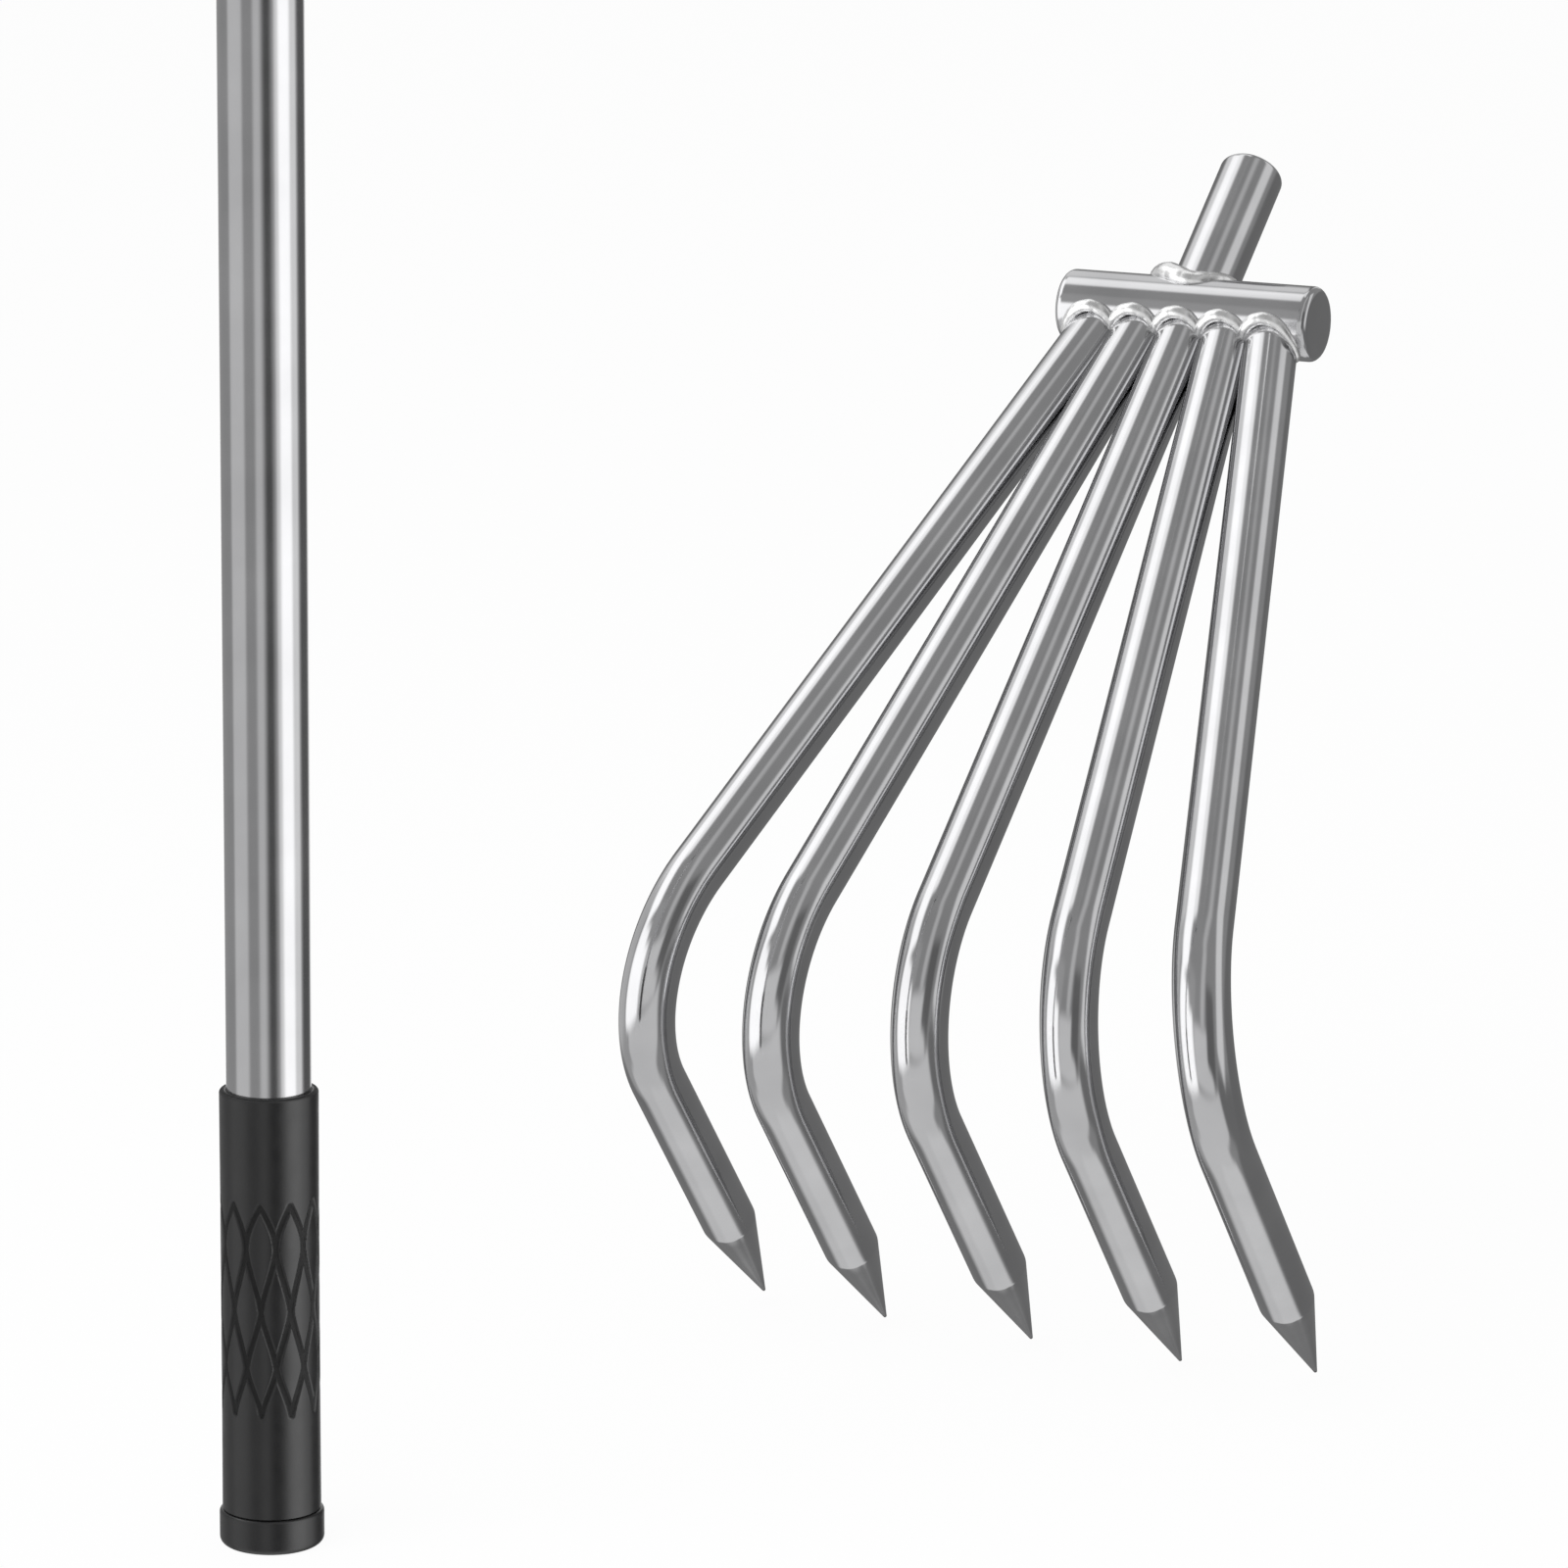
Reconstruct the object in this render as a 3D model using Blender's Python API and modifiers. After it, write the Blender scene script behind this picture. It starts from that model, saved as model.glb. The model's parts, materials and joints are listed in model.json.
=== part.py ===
"""Golf ball retriever: a telescopic pole with a rubber grip, and its five-tine claw head.

Metres, +Z up. The origin is the middle of the butt cap's flat underside. The pole stands on it
along +Z with its sections pushed in. The claw head is off the pole and stands on its tips behind it.
"""

import math

import bmesh
import bpy
from mathutils import Vector

# Fits
CLEARANCE = 0.0003  # gap between two pieces that touch on the real object
CHAMFER = 0.0006  # broken edge on machined pieces
WELD_DISTANCE = 0.00001  # points nearer than this are one point

# Pole tubes: the base tube's outside radius sets the others
BASE_TUBE_RADIUS = 0.0095
BASE_TUBE_WALL = 0.0010
BASE_TUBE_LENGTH = 0.540
MID_TUBE_WALL = 0.0009
TIP_TUBE_WALL = 0.0009
SECTION_STEP = 0.0010  # from a tube's bore to the tube that slides in it, on the radius

# Butt cap: a cup round the tube's end, with a plug inside the tube
CAP_WALL = 0.00195
CAP_HEIGHT = 0.0078
CAP_FLOOR = 0.0030
CAP_TOP_ROUND = 0.0008
CAP_BOTTOM_ROUND = 0.0020
PLUG_LENGTH = 0.0150

# Rubber grip: slightly waisted, with a rounded top lip
GRIP_LENGTH = 0.0970
GRIP_END_WALL = 0.00128
GRIP_WAIST_WALL = 0.00090
GRIP_LIP_ROUND = 0.0009

# Guide bushes at the lower ends of the sliding tubes
BUSH_LENGTH = 0.020
BUSH_SPIGOT_LENGTH = 0.012
BUSH_VENT_RADIUS = 0.0020

# Twist locks at the upper ends of the base tube and the mid tube
FERRULE_LENGTH = 0.022
FERRULE_WALL = 0.0018
LIP_THICKNESS = 0.0025
NECK_HEIGHT = 0.013
NECK_WALL = 0.0012
COLLET_WALL = 0.0008
COLLET_TAPER = 0.0011
COLLET_PROUD = 0.0015
COLLET_SLIT = 0.0016
NUT_WALL = 0.0022
NUT_CROWN = 0.0025
NUT_RISE = 0.0010  # how far the nut climbs when it is loosened
NUT_FLUTES = 12
FLUTE_RADIUS = 0.0020
FLUTE_DEPTH = 0.0006

# Socket for the claw head's stem, riveted to the tip tube
SOCKET_WALL = 0.0022
SOCKET_SKIRT = 0.025
SOCKET_WEB = 0.0030
SOCKET_CONE = 0.006
STEM_SHOULDER = 0.0015  # from the socket's rim to the crossbar when the stem is home
PIN_RADIUS = 0.0016
PIN_HEAD_EDGE = 0.0011
PIN_HEAD_HEIGHT = 0.0012

# Thumb screw of the socket
CLAMP_HEIGHT = 0.020  # above the socket's web
BOSS_WALL = 0.0027
BOSS_REACH = 0.006
STUD_RADIUS = 0.0025
STUD_SETBACK = 0.0005  # stud tip behind the socket's bore when backed off
CLAMP_TRAVEL = 0.0020
KNOB_RADIUS = 0.0090
KNOB_LENGTH = 0.010
KNOB_FACE = 0.003  # solid end of the knob beyond the stud
KNOB_FLUTES = 8

# Claw head
STEM_RADIUS = 0.00825
STEM_REACH = 0.0395  # from the crossbar's surface to the stem's end
STEM_END_ROUND = 0.0012
BAR_RADIUS = 0.0095
BAR_MARGIN = 0.0055  # crossbar beyond the outer tines
BAR_END_ROUND = 0.0020
TINE_RADIUS = 0.0069
TINE_SPACING = 0.0110  # on the crossbar's axis
TINE_FAN = (-13.33, -7.34, 0.0, 7.34, 13.33)  # degrees from the stem's line, left to right
SHANK_LENGTH = 0.2273  # from the crossbar's axis to the bend's corner, middle tine
SHANK_STEP = 0.0019  # added at each tine outward
HOOK_LENGTH = 0.1281  # from the bend's corner to the tip
BEND_ANGLE = math.radians(90.0)
BEND_RADIUS = 0.0386
POINT_LENGTH = 0.0310
POINT_RADIUS = 0.00035

# Where the claw head stands
HEAD_X = 0.2160
HEAD_Y = 0.2419
HEAD_PITCH = math.radians(40.71)  # shanks below the horizontal
HEAD_YAW = math.radians(26.41)

# Facets
TURN_STEPS = 32
ROD_SIDES = 20
FLUTE_SIDES = 16
BEND_STEPS = 10
ROUND_STEPS = 3
SHARP_ANGLE = math.radians(30.0)

# Finishes: colour, roughness, metallic
STEEL = ((0.60, 0.60, 0.61), 0.16, 1.0)
ALLOY = ((0.46, 0.46, 0.47), 0.34, 1.0)
RUBBER = ((0.016, 0.016, 0.017), 0.62, 0.0)
NYLON = ((0.72, 0.71, 0.67), 0.48, 0.0)
BLACK_PLASTIC = ((0.022, 0.022, 0.024), 0.42, 0.0)


def clear_scene():
    for obj in list(bpy.data.objects):
        bpy.data.objects.remove(obj, do_unlink=True)


def new_collection(name):
    collection = bpy.data.collections.new(name)
    bpy.context.scene.collection.children.link(collection)
    return collection


clear_scene()
PARTS = new_collection("golf_ball_retriever")
CUTTERS = new_collection("cutters")


# Objects and materials


def finish_of(name, finish):
    colour, roughness, metallic = finish
    material = bpy.data.materials.new(name + "_finish")
    material.use_nodes = True
    shader = material.node_tree.nodes["Principled BSDF"]
    shader.inputs["Base Color"].default_value = (*colour, 1.0)
    shader.inputs["Roughness"].default_value = roughness
    shader.inputs["Metallic"].default_value = metallic
    return material


def add_part(name, mesh, finish, parent):
    obj = bpy.data.objects.new(name, mesh)
    obj.parent = parent
    mesh.materials.append(finish_of(name, finish))
    PARTS.objects.link(obj)
    return obj


def add_cutter(name, mesh, parent):
    obj = bpy.data.objects.new(name, mesh)
    obj.parent = parent
    obj.hide_render = True
    obj.display_type = "WIRE"
    CUTTERS.objects.link(obj)
    return obj


def add_frame(name, parent=None, location=(0, 0, 0)):
    frame = bpy.data.objects.new(name, None)
    frame.parent = parent
    frame.location = location
    PARTS.objects.link(frame)
    return frame


def boolean(obj, other, operation="DIFFERENCE"):
    modifier = obj.modifiers.new(other.name, "BOOLEAN")
    modifier.operation = operation
    modifier.object = other
    modifier.solver = "EXACT"


# Shapes


def arc(centre_r, centre_z, radius, start, end):
    """Points of a rounded edge in a turned profile, angles in degrees from +X."""
    points = []
    for step in range(ROUND_STEPS + 1):
        angle = math.radians(start + (end - start) * step / ROUND_STEPS)
        points.append((centre_r + radius * math.cos(angle), centre_z + radius * math.sin(angle)))
    return points


def profile_mesh(name, profile, closed):
    """Edges of a profile of (radius, height) points, down its outer side."""
    mesh = bpy.data.meshes.new(name)
    count = len(profile)
    edges = [(i, (i + 1) % count) for i in range(count if closed else count - 1)]
    mesh.from_pydata([(r, 0.0, z) for r, z in profile], edges, [])
    return mesh


def spin(obj, steps):
    screw = obj.modifiers.new("turn", "SCREW")
    screw.axis = "Z"
    screw.steps = steps
    screw.render_steps = steps
    screw.use_merge_vertices = True
    screw.merge_threshold = WELD_DISTANCE
    screw.use_smooth_shade = True
    return obj


def turned(name, profile, finish, parent, closed=True, steps=TURN_STEPS):
    """A ring or tube where the profile closes on itself, a solid where it starts and ends on the axis."""
    return spin(add_part(name, profile_mesh(name, profile, closed), finish, parent), steps)


def rod_mesh(name, radius, bottom, top, sides=TURN_STEPS):
    """A round rod along Z from bottom to top."""
    mesh = bpy.data.meshes.new(name)
    shape = bmesh.new()
    bmesh.ops.create_cone(
        shape, cap_ends=True, segments=sides, radius1=radius, radius2=radius, depth=top - bottom
    )
    bmesh.ops.translate(shape, verts=shape.verts, vec=(0, 0, (top + bottom) / 2))
    shape.to_mesh(mesh)
    shape.free()
    return mesh


def box_mesh(name, low, high):
    mesh = bpy.data.meshes.new(name)
    shape = bmesh.new()
    bmesh.ops.create_cube(shape, size=1.0)
    low, high = Vector(low), Vector(high)
    bmesh.ops.scale(shape, verts=shape.verts, vec=high - low)
    bmesh.ops.translate(shape, verts=shape.verts, vec=(high + low) / 2)
    shape.to_mesh(mesh)
    shape.free()
    return mesh


def flute(obj, radius, bottom, top, count, parent):
    """Grip flutes round a nut or a knob."""
    mesh = bpy.data.meshes.new(obj.name + "_flutes")
    shape = bmesh.new()
    reach = radius + FLUTE_RADIUS - FLUTE_DEPTH
    for index in range(count):
        angle = 2 * math.pi * (index + 0.5) / count
        made = bmesh.ops.create_cone(
            shape,
            cap_ends=True,
            segments=FLUTE_SIDES,
            radius1=FLUTE_RADIUS,
            radius2=FLUTE_RADIUS,
            depth=(top - bottom) * 2,
        )
        offset = (reach * math.cos(angle), reach * math.sin(angle), (top + bottom) / 2)
        bmesh.ops.translate(shape, verts=made["verts"], vec=offset)
    shape.to_mesh(mesh)
    shape.free()
    boolean(obj, add_cutter(mesh.name, mesh, parent))


# Butt cap, base tube and grip

pole_base = add_frame("pole_base")
base_bore = BASE_TUBE_RADIUS - BASE_TUBE_WALL
plug_top = CAP_FLOOR + PLUG_LENGTH
plug_radius = base_bore - CLEARANCE
cup_radius = BASE_TUBE_RADIUS + CLEARANCE
cap_radius = cup_radius + CAP_WALL
base_bottom = CAP_FLOOR + CLEARANCE
base_top = base_bottom + BASE_TUBE_LENGTH

turned(
    "butt_cap",
    [
        (0.0, plug_top),
        (plug_radius - CHAMFER, plug_top),
        (plug_radius, plug_top - CHAMFER),
        (plug_radius, CAP_FLOOR),
        (cup_radius, CAP_FLOOR),
        (cup_radius, CAP_HEIGHT),
        *arc(cap_radius - CAP_TOP_ROUND, CAP_HEIGHT - CAP_TOP_ROUND, CAP_TOP_ROUND, 90, 0),
        *arc(cap_radius - CAP_BOTTOM_ROUND, CAP_BOTTOM_ROUND, CAP_BOTTOM_ROUND, 0, -90),
        (0.0, 0.0),
    ],
    RUBBER,
    pole_base,
    closed=False,
)


def tube(name, radius, wall, bottom, top, parent):
    return turned(
        name,
        [(radius, top), (radius, bottom), (radius - wall, bottom), (radius - wall, top)],
        STEEL,
        parent,
    )


tube("base_tube", BASE_TUBE_RADIUS, BASE_TUBE_WALL, base_bottom, base_top, pole_base)


def grip_profile():
    bottom = CAP_HEIGHT + CLEARANCE
    top = bottom + GRIP_LENGTH
    quarter = GRIP_LENGTH / 4
    end = cup_radius + GRIP_END_WALL
    waist = cup_radius + GRIP_WAIST_WALL
    return [
        *arc(end - GRIP_LIP_ROUND, top - GRIP_LIP_ROUND, GRIP_LIP_ROUND, 90, 0),
        (waist, top - quarter),
        (waist, bottom + quarter),
        (end, bottom),
        (cup_radius, bottom),
        (cup_radius, top),
    ]


turned("grip_sleeve", grip_profile(), RUBBER, pole_base)


# Twist locks


def twist_lock(stage, tube_radius, tube_top, slider_radius, parent):
    """Ferrule, collet and nut at the top of one tube, round the tube that slides in it.

    It returns the height of the nut's top.
    """
    outside = tube_radius + CLEARANCE
    inside = slider_radius + CLEARANCE
    sleeve = outside + FERRULE_WALL
    sleeve_bottom = tube_top - FERRULE_LENGTH
    lip_bottom = tube_top + CLEARANCE
    lip_top = lip_bottom + LIP_THICKNESS
    neck_top = lip_top + NECK_HEIGHT
    seat_low = inside + COLLET_WALL + CLEARANCE
    seat_high = seat_low + COLLET_TAPER
    neck = seat_high + NECK_WALL
    turned(
        stage + "_ferrule",
        [
            (neck, neck_top),
            (neck, lip_top),
            (sleeve, lip_top),
            (sleeve, sleeve_bottom + CHAMFER),
            (sleeve - CHAMFER, sleeve_bottom),
            (outside, sleeve_bottom),
            (outside, lip_bottom),
            (inside, lip_bottom),
            (inside, lip_top),
            (seat_low, lip_top),
            (seat_high, neck_top),
        ],
        ALLOY,
        parent,
    )

    lock = add_frame(stage + "_lock", parent)
    collet_bottom = lip_top + CLEARANCE
    collet_top = neck_top + COLLET_PROUD
    collet = turned(
        stage + "_collet",
        [
            (seat_high - CLEARANCE, collet_top),
            (seat_high - CLEARANCE, neck_top),
            (seat_low - CLEARANCE, collet_bottom),
            (inside, collet_bottom),
            (inside, collet_top),
        ],
        NYLON,
        lock,
    )
    slit_low = (0.0, -COLLET_SLIT / 2, collet_bottom - COLLET_SLIT)
    slit_high = (2 * seat_high, COLLET_SLIT / 2, collet_top + COLLET_SLIT)
    boolean(collet, add_cutter(stage + "_slit", box_mesh(stage + "_slit", slit_low, slit_high), lock))

    bore = neck + CLEARANCE
    nut_radius = bore + NUT_WALL
    skirt_bottom = lip_top + NUT_RISE
    crown_bottom = collet_top + CLEARANCE
    nut_top = crown_bottom + NUT_CROWN
    nut = turned(
        stage + "_lock_nut",
        [
            (nut_radius - CHAMFER, nut_top),
            (nut_radius, nut_top - CHAMFER),
            (nut_radius, skirt_bottom + CHAMFER),
            (nut_radius - CHAMFER, skirt_bottom),
            (bore, skirt_bottom),
            (bore, crown_bottom),
            (inside, crown_bottom),
            (inside, nut_top),
        ],
        BLACK_PLASTIC,
        lock,
    )
    flute(nut, nut_radius, skirt_bottom, nut_top, NUT_FLUTES, lock)
    return nut_top


stack_gap = 2 * NUT_RISE  # a loosened nut stays clear of what stands above it
mid_radius = base_bore - SECTION_STEP
mid_bore = mid_radius - MID_TUBE_WALL
tip_radius = mid_bore - SECTION_STEP
tip_bore = tip_radius - TIP_TUBE_WALL
base_nut_top = twist_lock("base", BASE_TUBE_RADIUS, base_top, mid_radius, pole_base)


# Sliding sections


def stop_bush(name, guide_bore, tube_bore, bottom, parent):
    """Guide at the lower end of a sliding tube. It returns the tops of its body and of its spigot."""
    body_top = bottom + BUSH_LENGTH
    spigot_top = body_top + BUSH_SPIGOT_LENGTH
    turned(
        name,
        [
            (tube_bore - CLEARANCE, spigot_top),
            (tube_bore - CLEARANCE, body_top),
            (guide_bore - CLEARANCE, body_top),
            (guide_bore - CLEARANCE, bottom),
            (BUSH_VENT_RADIUS, bottom),
            (BUSH_VENT_RADIUS, spigot_top),
        ],
        NYLON,
        parent,
    )
    return body_top, spigot_top


mid_section = add_frame("mid_section", pole_base)
mid_bush_top, mid_spigot_top = stop_bush(
    "mid_stop_bush", base_bore, mid_bore, plug_top + CLEARANCE, mid_section
)
mid_top = base_nut_top + stack_gap + FERRULE_LENGTH
tube("mid_tube", mid_radius, MID_TUBE_WALL, mid_bush_top + CLEARANCE, mid_top, mid_section)
mid_nut_top = twist_lock("mid", mid_radius, mid_top, tip_radius, mid_section)

tip_section = add_frame("tip_section", mid_section)
tip_bush_top, _ = stop_bush("tip_stop_bush", mid_bore, tip_bore, mid_spigot_top + CLEARANCE, tip_section)
socket_bottom = mid_nut_top + stack_gap
tip_top = socket_bottom + SOCKET_SKIRT
tip_tube = tube("tip_tube", tip_radius, TIP_TUBE_WALL, tip_bush_top + CLEARANCE, tip_top, tip_section)


# Socket, its rivet and its thumb screw

web_bottom = tip_top + CLEARANCE
web_top = web_bottom + SOCKET_WEB
socket_top = web_top + STEM_REACH - STEM_SHOULDER
socket_bore = STEM_RADIUS + CLEARANCE
skirt_bore = tip_radius + CLEARANCE
skirt_radius = skirt_bore + SOCKET_WALL
socket_radius = socket_bore + SOCKET_WALL
clamp_height = web_top + CLAMP_HEIGHT
boss_end = socket_radius + BOSS_REACH

# Screw pieces lie along the clamp frame's +Z, which points to -Y.
clamp = add_frame("clamp", tip_section, (0, 0, clamp_height))
clamp.rotation_euler = (math.pi / 2, 0, 0)
# The rivet lies along the pin frame's +Z, which points to +X.
pin_height = (socket_bottom + web_bottom - SOCKET_CONE) / 2
pin_frame = add_frame("pin_frame", tip_section, (0, 0, pin_height))
pin_frame.rotation_euler = (0, math.pi / 2, 0)


def make_socket():
    socket = turned(
        "socket_sleeve",
        [
            (0.0, socket_top),
            (socket_radius - CHAMFER, socket_top),
            (socket_radius, socket_top - CHAMFER),
            (socket_radius, web_bottom),
            (skirt_radius, web_bottom - SOCKET_CONE),
            (skirt_radius, socket_bottom + CHAMFER),
            (skirt_radius - CHAMFER, socket_bottom),
            (0.0, socket_bottom),
        ],
        ALLOY,
        tip_section,
        closed=False,
    )
    screw_bore = STUD_RADIUS + CLEARANCE
    inside = socket_bore / 2
    boss = rod_mesh("socket_boss", screw_bore + BOSS_WALL, inside, boss_end)
    boolean(socket, add_cutter("socket_boss", boss, clamp), "UNION")
    stem_bore = rod_mesh("stem_bore", socket_bore, web_top, socket_top + SOCKET_WALL)
    boolean(socket, add_cutter("stem_bore", stem_bore, tip_section))
    tube_bore = rod_mesh("tube_bore", skirt_bore, socket_bottom - SOCKET_WALL, web_bottom)
    boolean(socket, add_cutter("tube_bore", tube_bore, tip_section))
    screw_hole = rod_mesh("screw_hole", screw_bore, inside, boss_end + SOCKET_WALL, ROD_SIDES)
    boolean(socket, add_cutter("screw_hole", screw_hole, clamp))
    return socket


def make_pin(socket):
    half = skirt_radius + CLEARANCE
    crown = PIN_RADIUS + PIN_HEAD_EDGE - PIN_HEAD_HEIGHT
    turned(
        "socket_pin",
        [
            (0.0, half + PIN_HEAD_HEIGHT),
            *arc(crown, half, PIN_HEAD_HEIGHT, 90, 0),
            (PIN_RADIUS, half),
            (PIN_RADIUS, -half),
            *arc(crown, -half, PIN_HEAD_HEIGHT, 0, -90),
            (0.0, -half - PIN_HEAD_HEIGHT),
        ],
        STEEL,
        pin_frame,
        closed=False,
        steps=ROD_SIDES,
    )
    hole = rod_mesh("pin_hole", PIN_RADIUS + CLEARANCE, -2 * half, 2 * half, ROD_SIDES)
    cutter = add_cutter("pin_hole", hole, pin_frame)
    boolean(socket, cutter)
    boolean(tip_tube, cutter)


def make_thumb_screw():
    knob_start = boss_end + CLEARANCE + CLAMP_TRAVEL
    knob_end = knob_start + KNOB_LENGTH
    hole_end = knob_end - KNOB_FACE
    stud_start = socket_bore + STUD_SETBACK
    stud_end = hole_end - CLEARANCE
    turned(
        "clamp_stud",
        [
            (0.0, stud_end),
            (STUD_RADIUS, stud_end),
            (STUD_RADIUS, stud_start + CHAMFER),
            (STUD_RADIUS - CHAMFER, stud_start),
            (0.0, stud_start),
        ],
        STEEL,
        clamp,
        closed=False,
        steps=ROD_SIDES,
    )
    knob = turned(
        "clamp_knob",
        [
            (0.0, knob_end),
            (KNOB_RADIUS - CHAMFER, knob_end),
            (KNOB_RADIUS, knob_end - CHAMFER),
            (KNOB_RADIUS, knob_start + CHAMFER),
            (KNOB_RADIUS - CHAMFER, knob_start),
            (STUD_RADIUS + CLEARANCE, knob_start),
            (STUD_RADIUS + CLEARANCE, hole_end),
            (0.0, hole_end),
        ],
        BLACK_PLASTIC,
        clamp,
        closed=False,
    )
    flute(knob, KNOB_RADIUS, knob_start, knob_end, KNOB_FLUTES, clamp)


socket_sleeve = make_socket()
make_pin(socket_sleeve)
make_thumb_screw()


# Claw head: local X along the crossbar, local Y along the stem, hooks towards local -Z

MIDDLE = len(TINE_FAN) // 2
ALONG_BAR = (0, math.pi / 2, 0)
ALONG_STEM = (-math.pi / 2, 0, 0)
bar_half = MIDDLE * TINE_SPACING + TINE_RADIUS + BAR_MARGIN


def shank_length(index):
    return SHANK_LENGTH + SHANK_STEP * abs(index - MIDDLE)


def fan_angle(index):
    return math.radians(TINE_FAN[index])


def head_height():
    """Height of the crossbar's axis at which the lowest tip just touches the floor."""
    drop = []
    for index in range(len(TINE_FAN)):
        along = shank_length(index) + HOOK_LENGTH * math.cos(BEND_ANGLE)
        along *= math.cos(fan_angle(index))
        across = HOOK_LENGTH * math.sin(BEND_ANGLE)
        drop.append(along * math.sin(HEAD_PITCH) + across * math.cos(HEAD_PITCH))
    return max(drop) + POINT_RADIUS


claw_head = add_frame("claw_head", None, (HEAD_X, HEAD_Y, head_height()))
claw_head.rotation_euler = (HEAD_PITCH, 0, -HEAD_YAW)


def round_bar(name, radius, bottom, top, bottom_round, top_round):
    """A turned bar along its own Z with rounded ends; a round of 0 leaves the end square."""
    upper = arc(radius - top_round, top - top_round, top_round, 90, 0)
    lower = [(radius, bottom)]
    if bottom_round:
        lower = arc(radius - bottom_round, bottom + bottom_round, bottom_round, 0, -90)
    return turned(name, [(0.0, top), *upper, *lower, (0.0, bottom)], STEEL, claw_head, closed=False)


def make_crossbar():
    bar = round_bar("crossbar", BAR_RADIUS, -bar_half, bar_half, BAR_END_ROUND, BAR_END_ROUND)
    bar.rotation_euler = ALONG_BAR


def make_bar_room():
    """The crossbar's own space, with clearance, cut from what is welded to it."""
    mesh = rod_mesh("bar_room", BAR_RADIUS + CLEARANCE, -2 * bar_half, 2 * bar_half)
    room = add_cutter("bar_room", mesh, claw_head)
    room.rotation_euler = ALONG_BAR
    return room


def make_stem(bar_room):
    stem = round_bar("stem", STEM_RADIUS, 0.0, BAR_RADIUS + STEM_REACH, 0.0, STEM_END_ROUND)
    stem.rotation_euler = ALONG_STEM
    boolean(stem, bar_room)


def tine_path(index):
    """Points along a tine's centre line with the share of its full radius, from the crossbar's axis."""
    angle = fan_angle(index)
    along = Vector((math.sin(angle), -math.cos(angle), 0.0))
    down = Vector((0.0, 0.0, -1.0))
    hook = along * math.cos(BEND_ANGLE) + down * math.sin(BEND_ANGLE)
    root = Vector(((index - MIDDLE) * TINE_SPACING, 0.0, 0.0))
    corner = root + along * shank_length(index)
    bend_start = corner - along * BEND_RADIUS * math.tan(BEND_ANGLE / 2)
    path = [(root, 1.0)]
    for step in range(BEND_STEPS + 1):
        turn = BEND_ANGLE * step / BEND_STEPS
        forward = along * math.sin(turn) + down * (1 - math.cos(turn))
        path.append((bend_start + forward * BEND_RADIUS, 1.0))
    tip = corner + hook * HOOK_LENGTH
    path.append((tip - hook * POINT_LENGTH, 1.0))
    path.append((tip, POINT_RADIUS / TINE_RADIUS))
    return path


def rod_along(name, path, radius):
    """A closed mesh of a round rod along a path of (point, share of radius)."""
    curve = bpy.data.curves.new(name, "CURVE")
    curve.dimensions = "3D"
    curve.bevel_depth = radius
    curve.bevel_resolution = (ROD_SIDES - 4) // 2
    curve.use_fill_caps = True
    spline = curve.splines.new("POLY")
    spline.points.add(len(path) - 1)
    for point, (place, share) in zip(spline.points, path):
        point.co = (*place, 1.0)
        point.radius = share
    guide = bpy.data.objects.new(name + "_guide", curve)
    CUTTERS.objects.link(guide)
    graph = bpy.context.evaluated_depsgraph_get()
    mesh = bpy.data.meshes.new_from_object(guide.evaluated_get(graph))
    bpy.data.objects.remove(guide, do_unlink=True)
    bpy.data.curves.remove(curve)
    shape = bmesh.new()
    shape.from_mesh(mesh)
    bmesh.ops.remove_doubles(shape, verts=shape.verts, dist=WELD_DISTANCE)
    bmesh.ops.recalc_face_normals(shape, faces=shape.faces)
    shape.to_mesh(mesh)
    shape.free()
    mesh.name = name
    mesh.shade_smooth()
    mesh.set_sharp_from_angle(angle=SHARP_ANGLE)
    return mesh


def make_root_flat(index):
    """Spaces left and right of the plane midway to the next tine, which share half a clearance past it."""
    angle = (fan_angle(index) + fan_angle(index + 1)) / 2
    spread = (fan_angle(index + 1) - fan_angle(index)) / 2
    middle = (index + 0.5 - MIDDLE) * TINE_SPACING
    overlap = TINE_RADIUS + CLEARANCE - TINE_SPACING / 2 * math.cos(angle)
    reach = max(overlap, 0.0) / math.sin(spread) + BAR_RADIUS + TINE_RADIUS
    thick = 3 * TINE_RADIUS
    spaces = []
    for side in (-1, 1):
        near = -side * CLEARANCE / 2
        far = side * thick
        low = (min(near, far), -reach, -2 * TINE_RADIUS)
        high = (max(near, far), 2 * TINE_RADIUS, 2 * TINE_RADIUS)
        name = f"root_flat_{index + 1}_{'left' if side < 0 else 'right'}"
        space = add_cutter(name, box_mesh(name, low, high), claw_head)
        space.location = (middle, 0, 0)
        space.rotation_euler = (0, 0, angle)
        spaces.append(space)
    return spaces


def make_tines(bar_room):
    tines = []
    for index in range(len(TINE_FAN)):
        name = f"tine_{index + 1}"
        tine = add_part(name, rod_along(name, tine_path(index), TINE_RADIUS), STEEL, claw_head)
        boolean(tine, bar_room)
        tines.append(tine)
    for index in range(len(tines) - 1):
        left_space, right_space = make_root_flat(index)
        boolean(tines[index], right_space)
        boolean(tines[index + 1], left_space)


make_crossbar()
bar_room = make_bar_room()
make_stem(bar_room)
make_tines(bar_room)
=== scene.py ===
"""Looks of the golf ball retriever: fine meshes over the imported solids, materials, studio and camera.

Metres, +Z up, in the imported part's frame: the pole stands on the origin, the claw head behind it.
"""

import json
import math

import bmesh
import bpy
from mathutils import Matrix, Vector, noise


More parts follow.
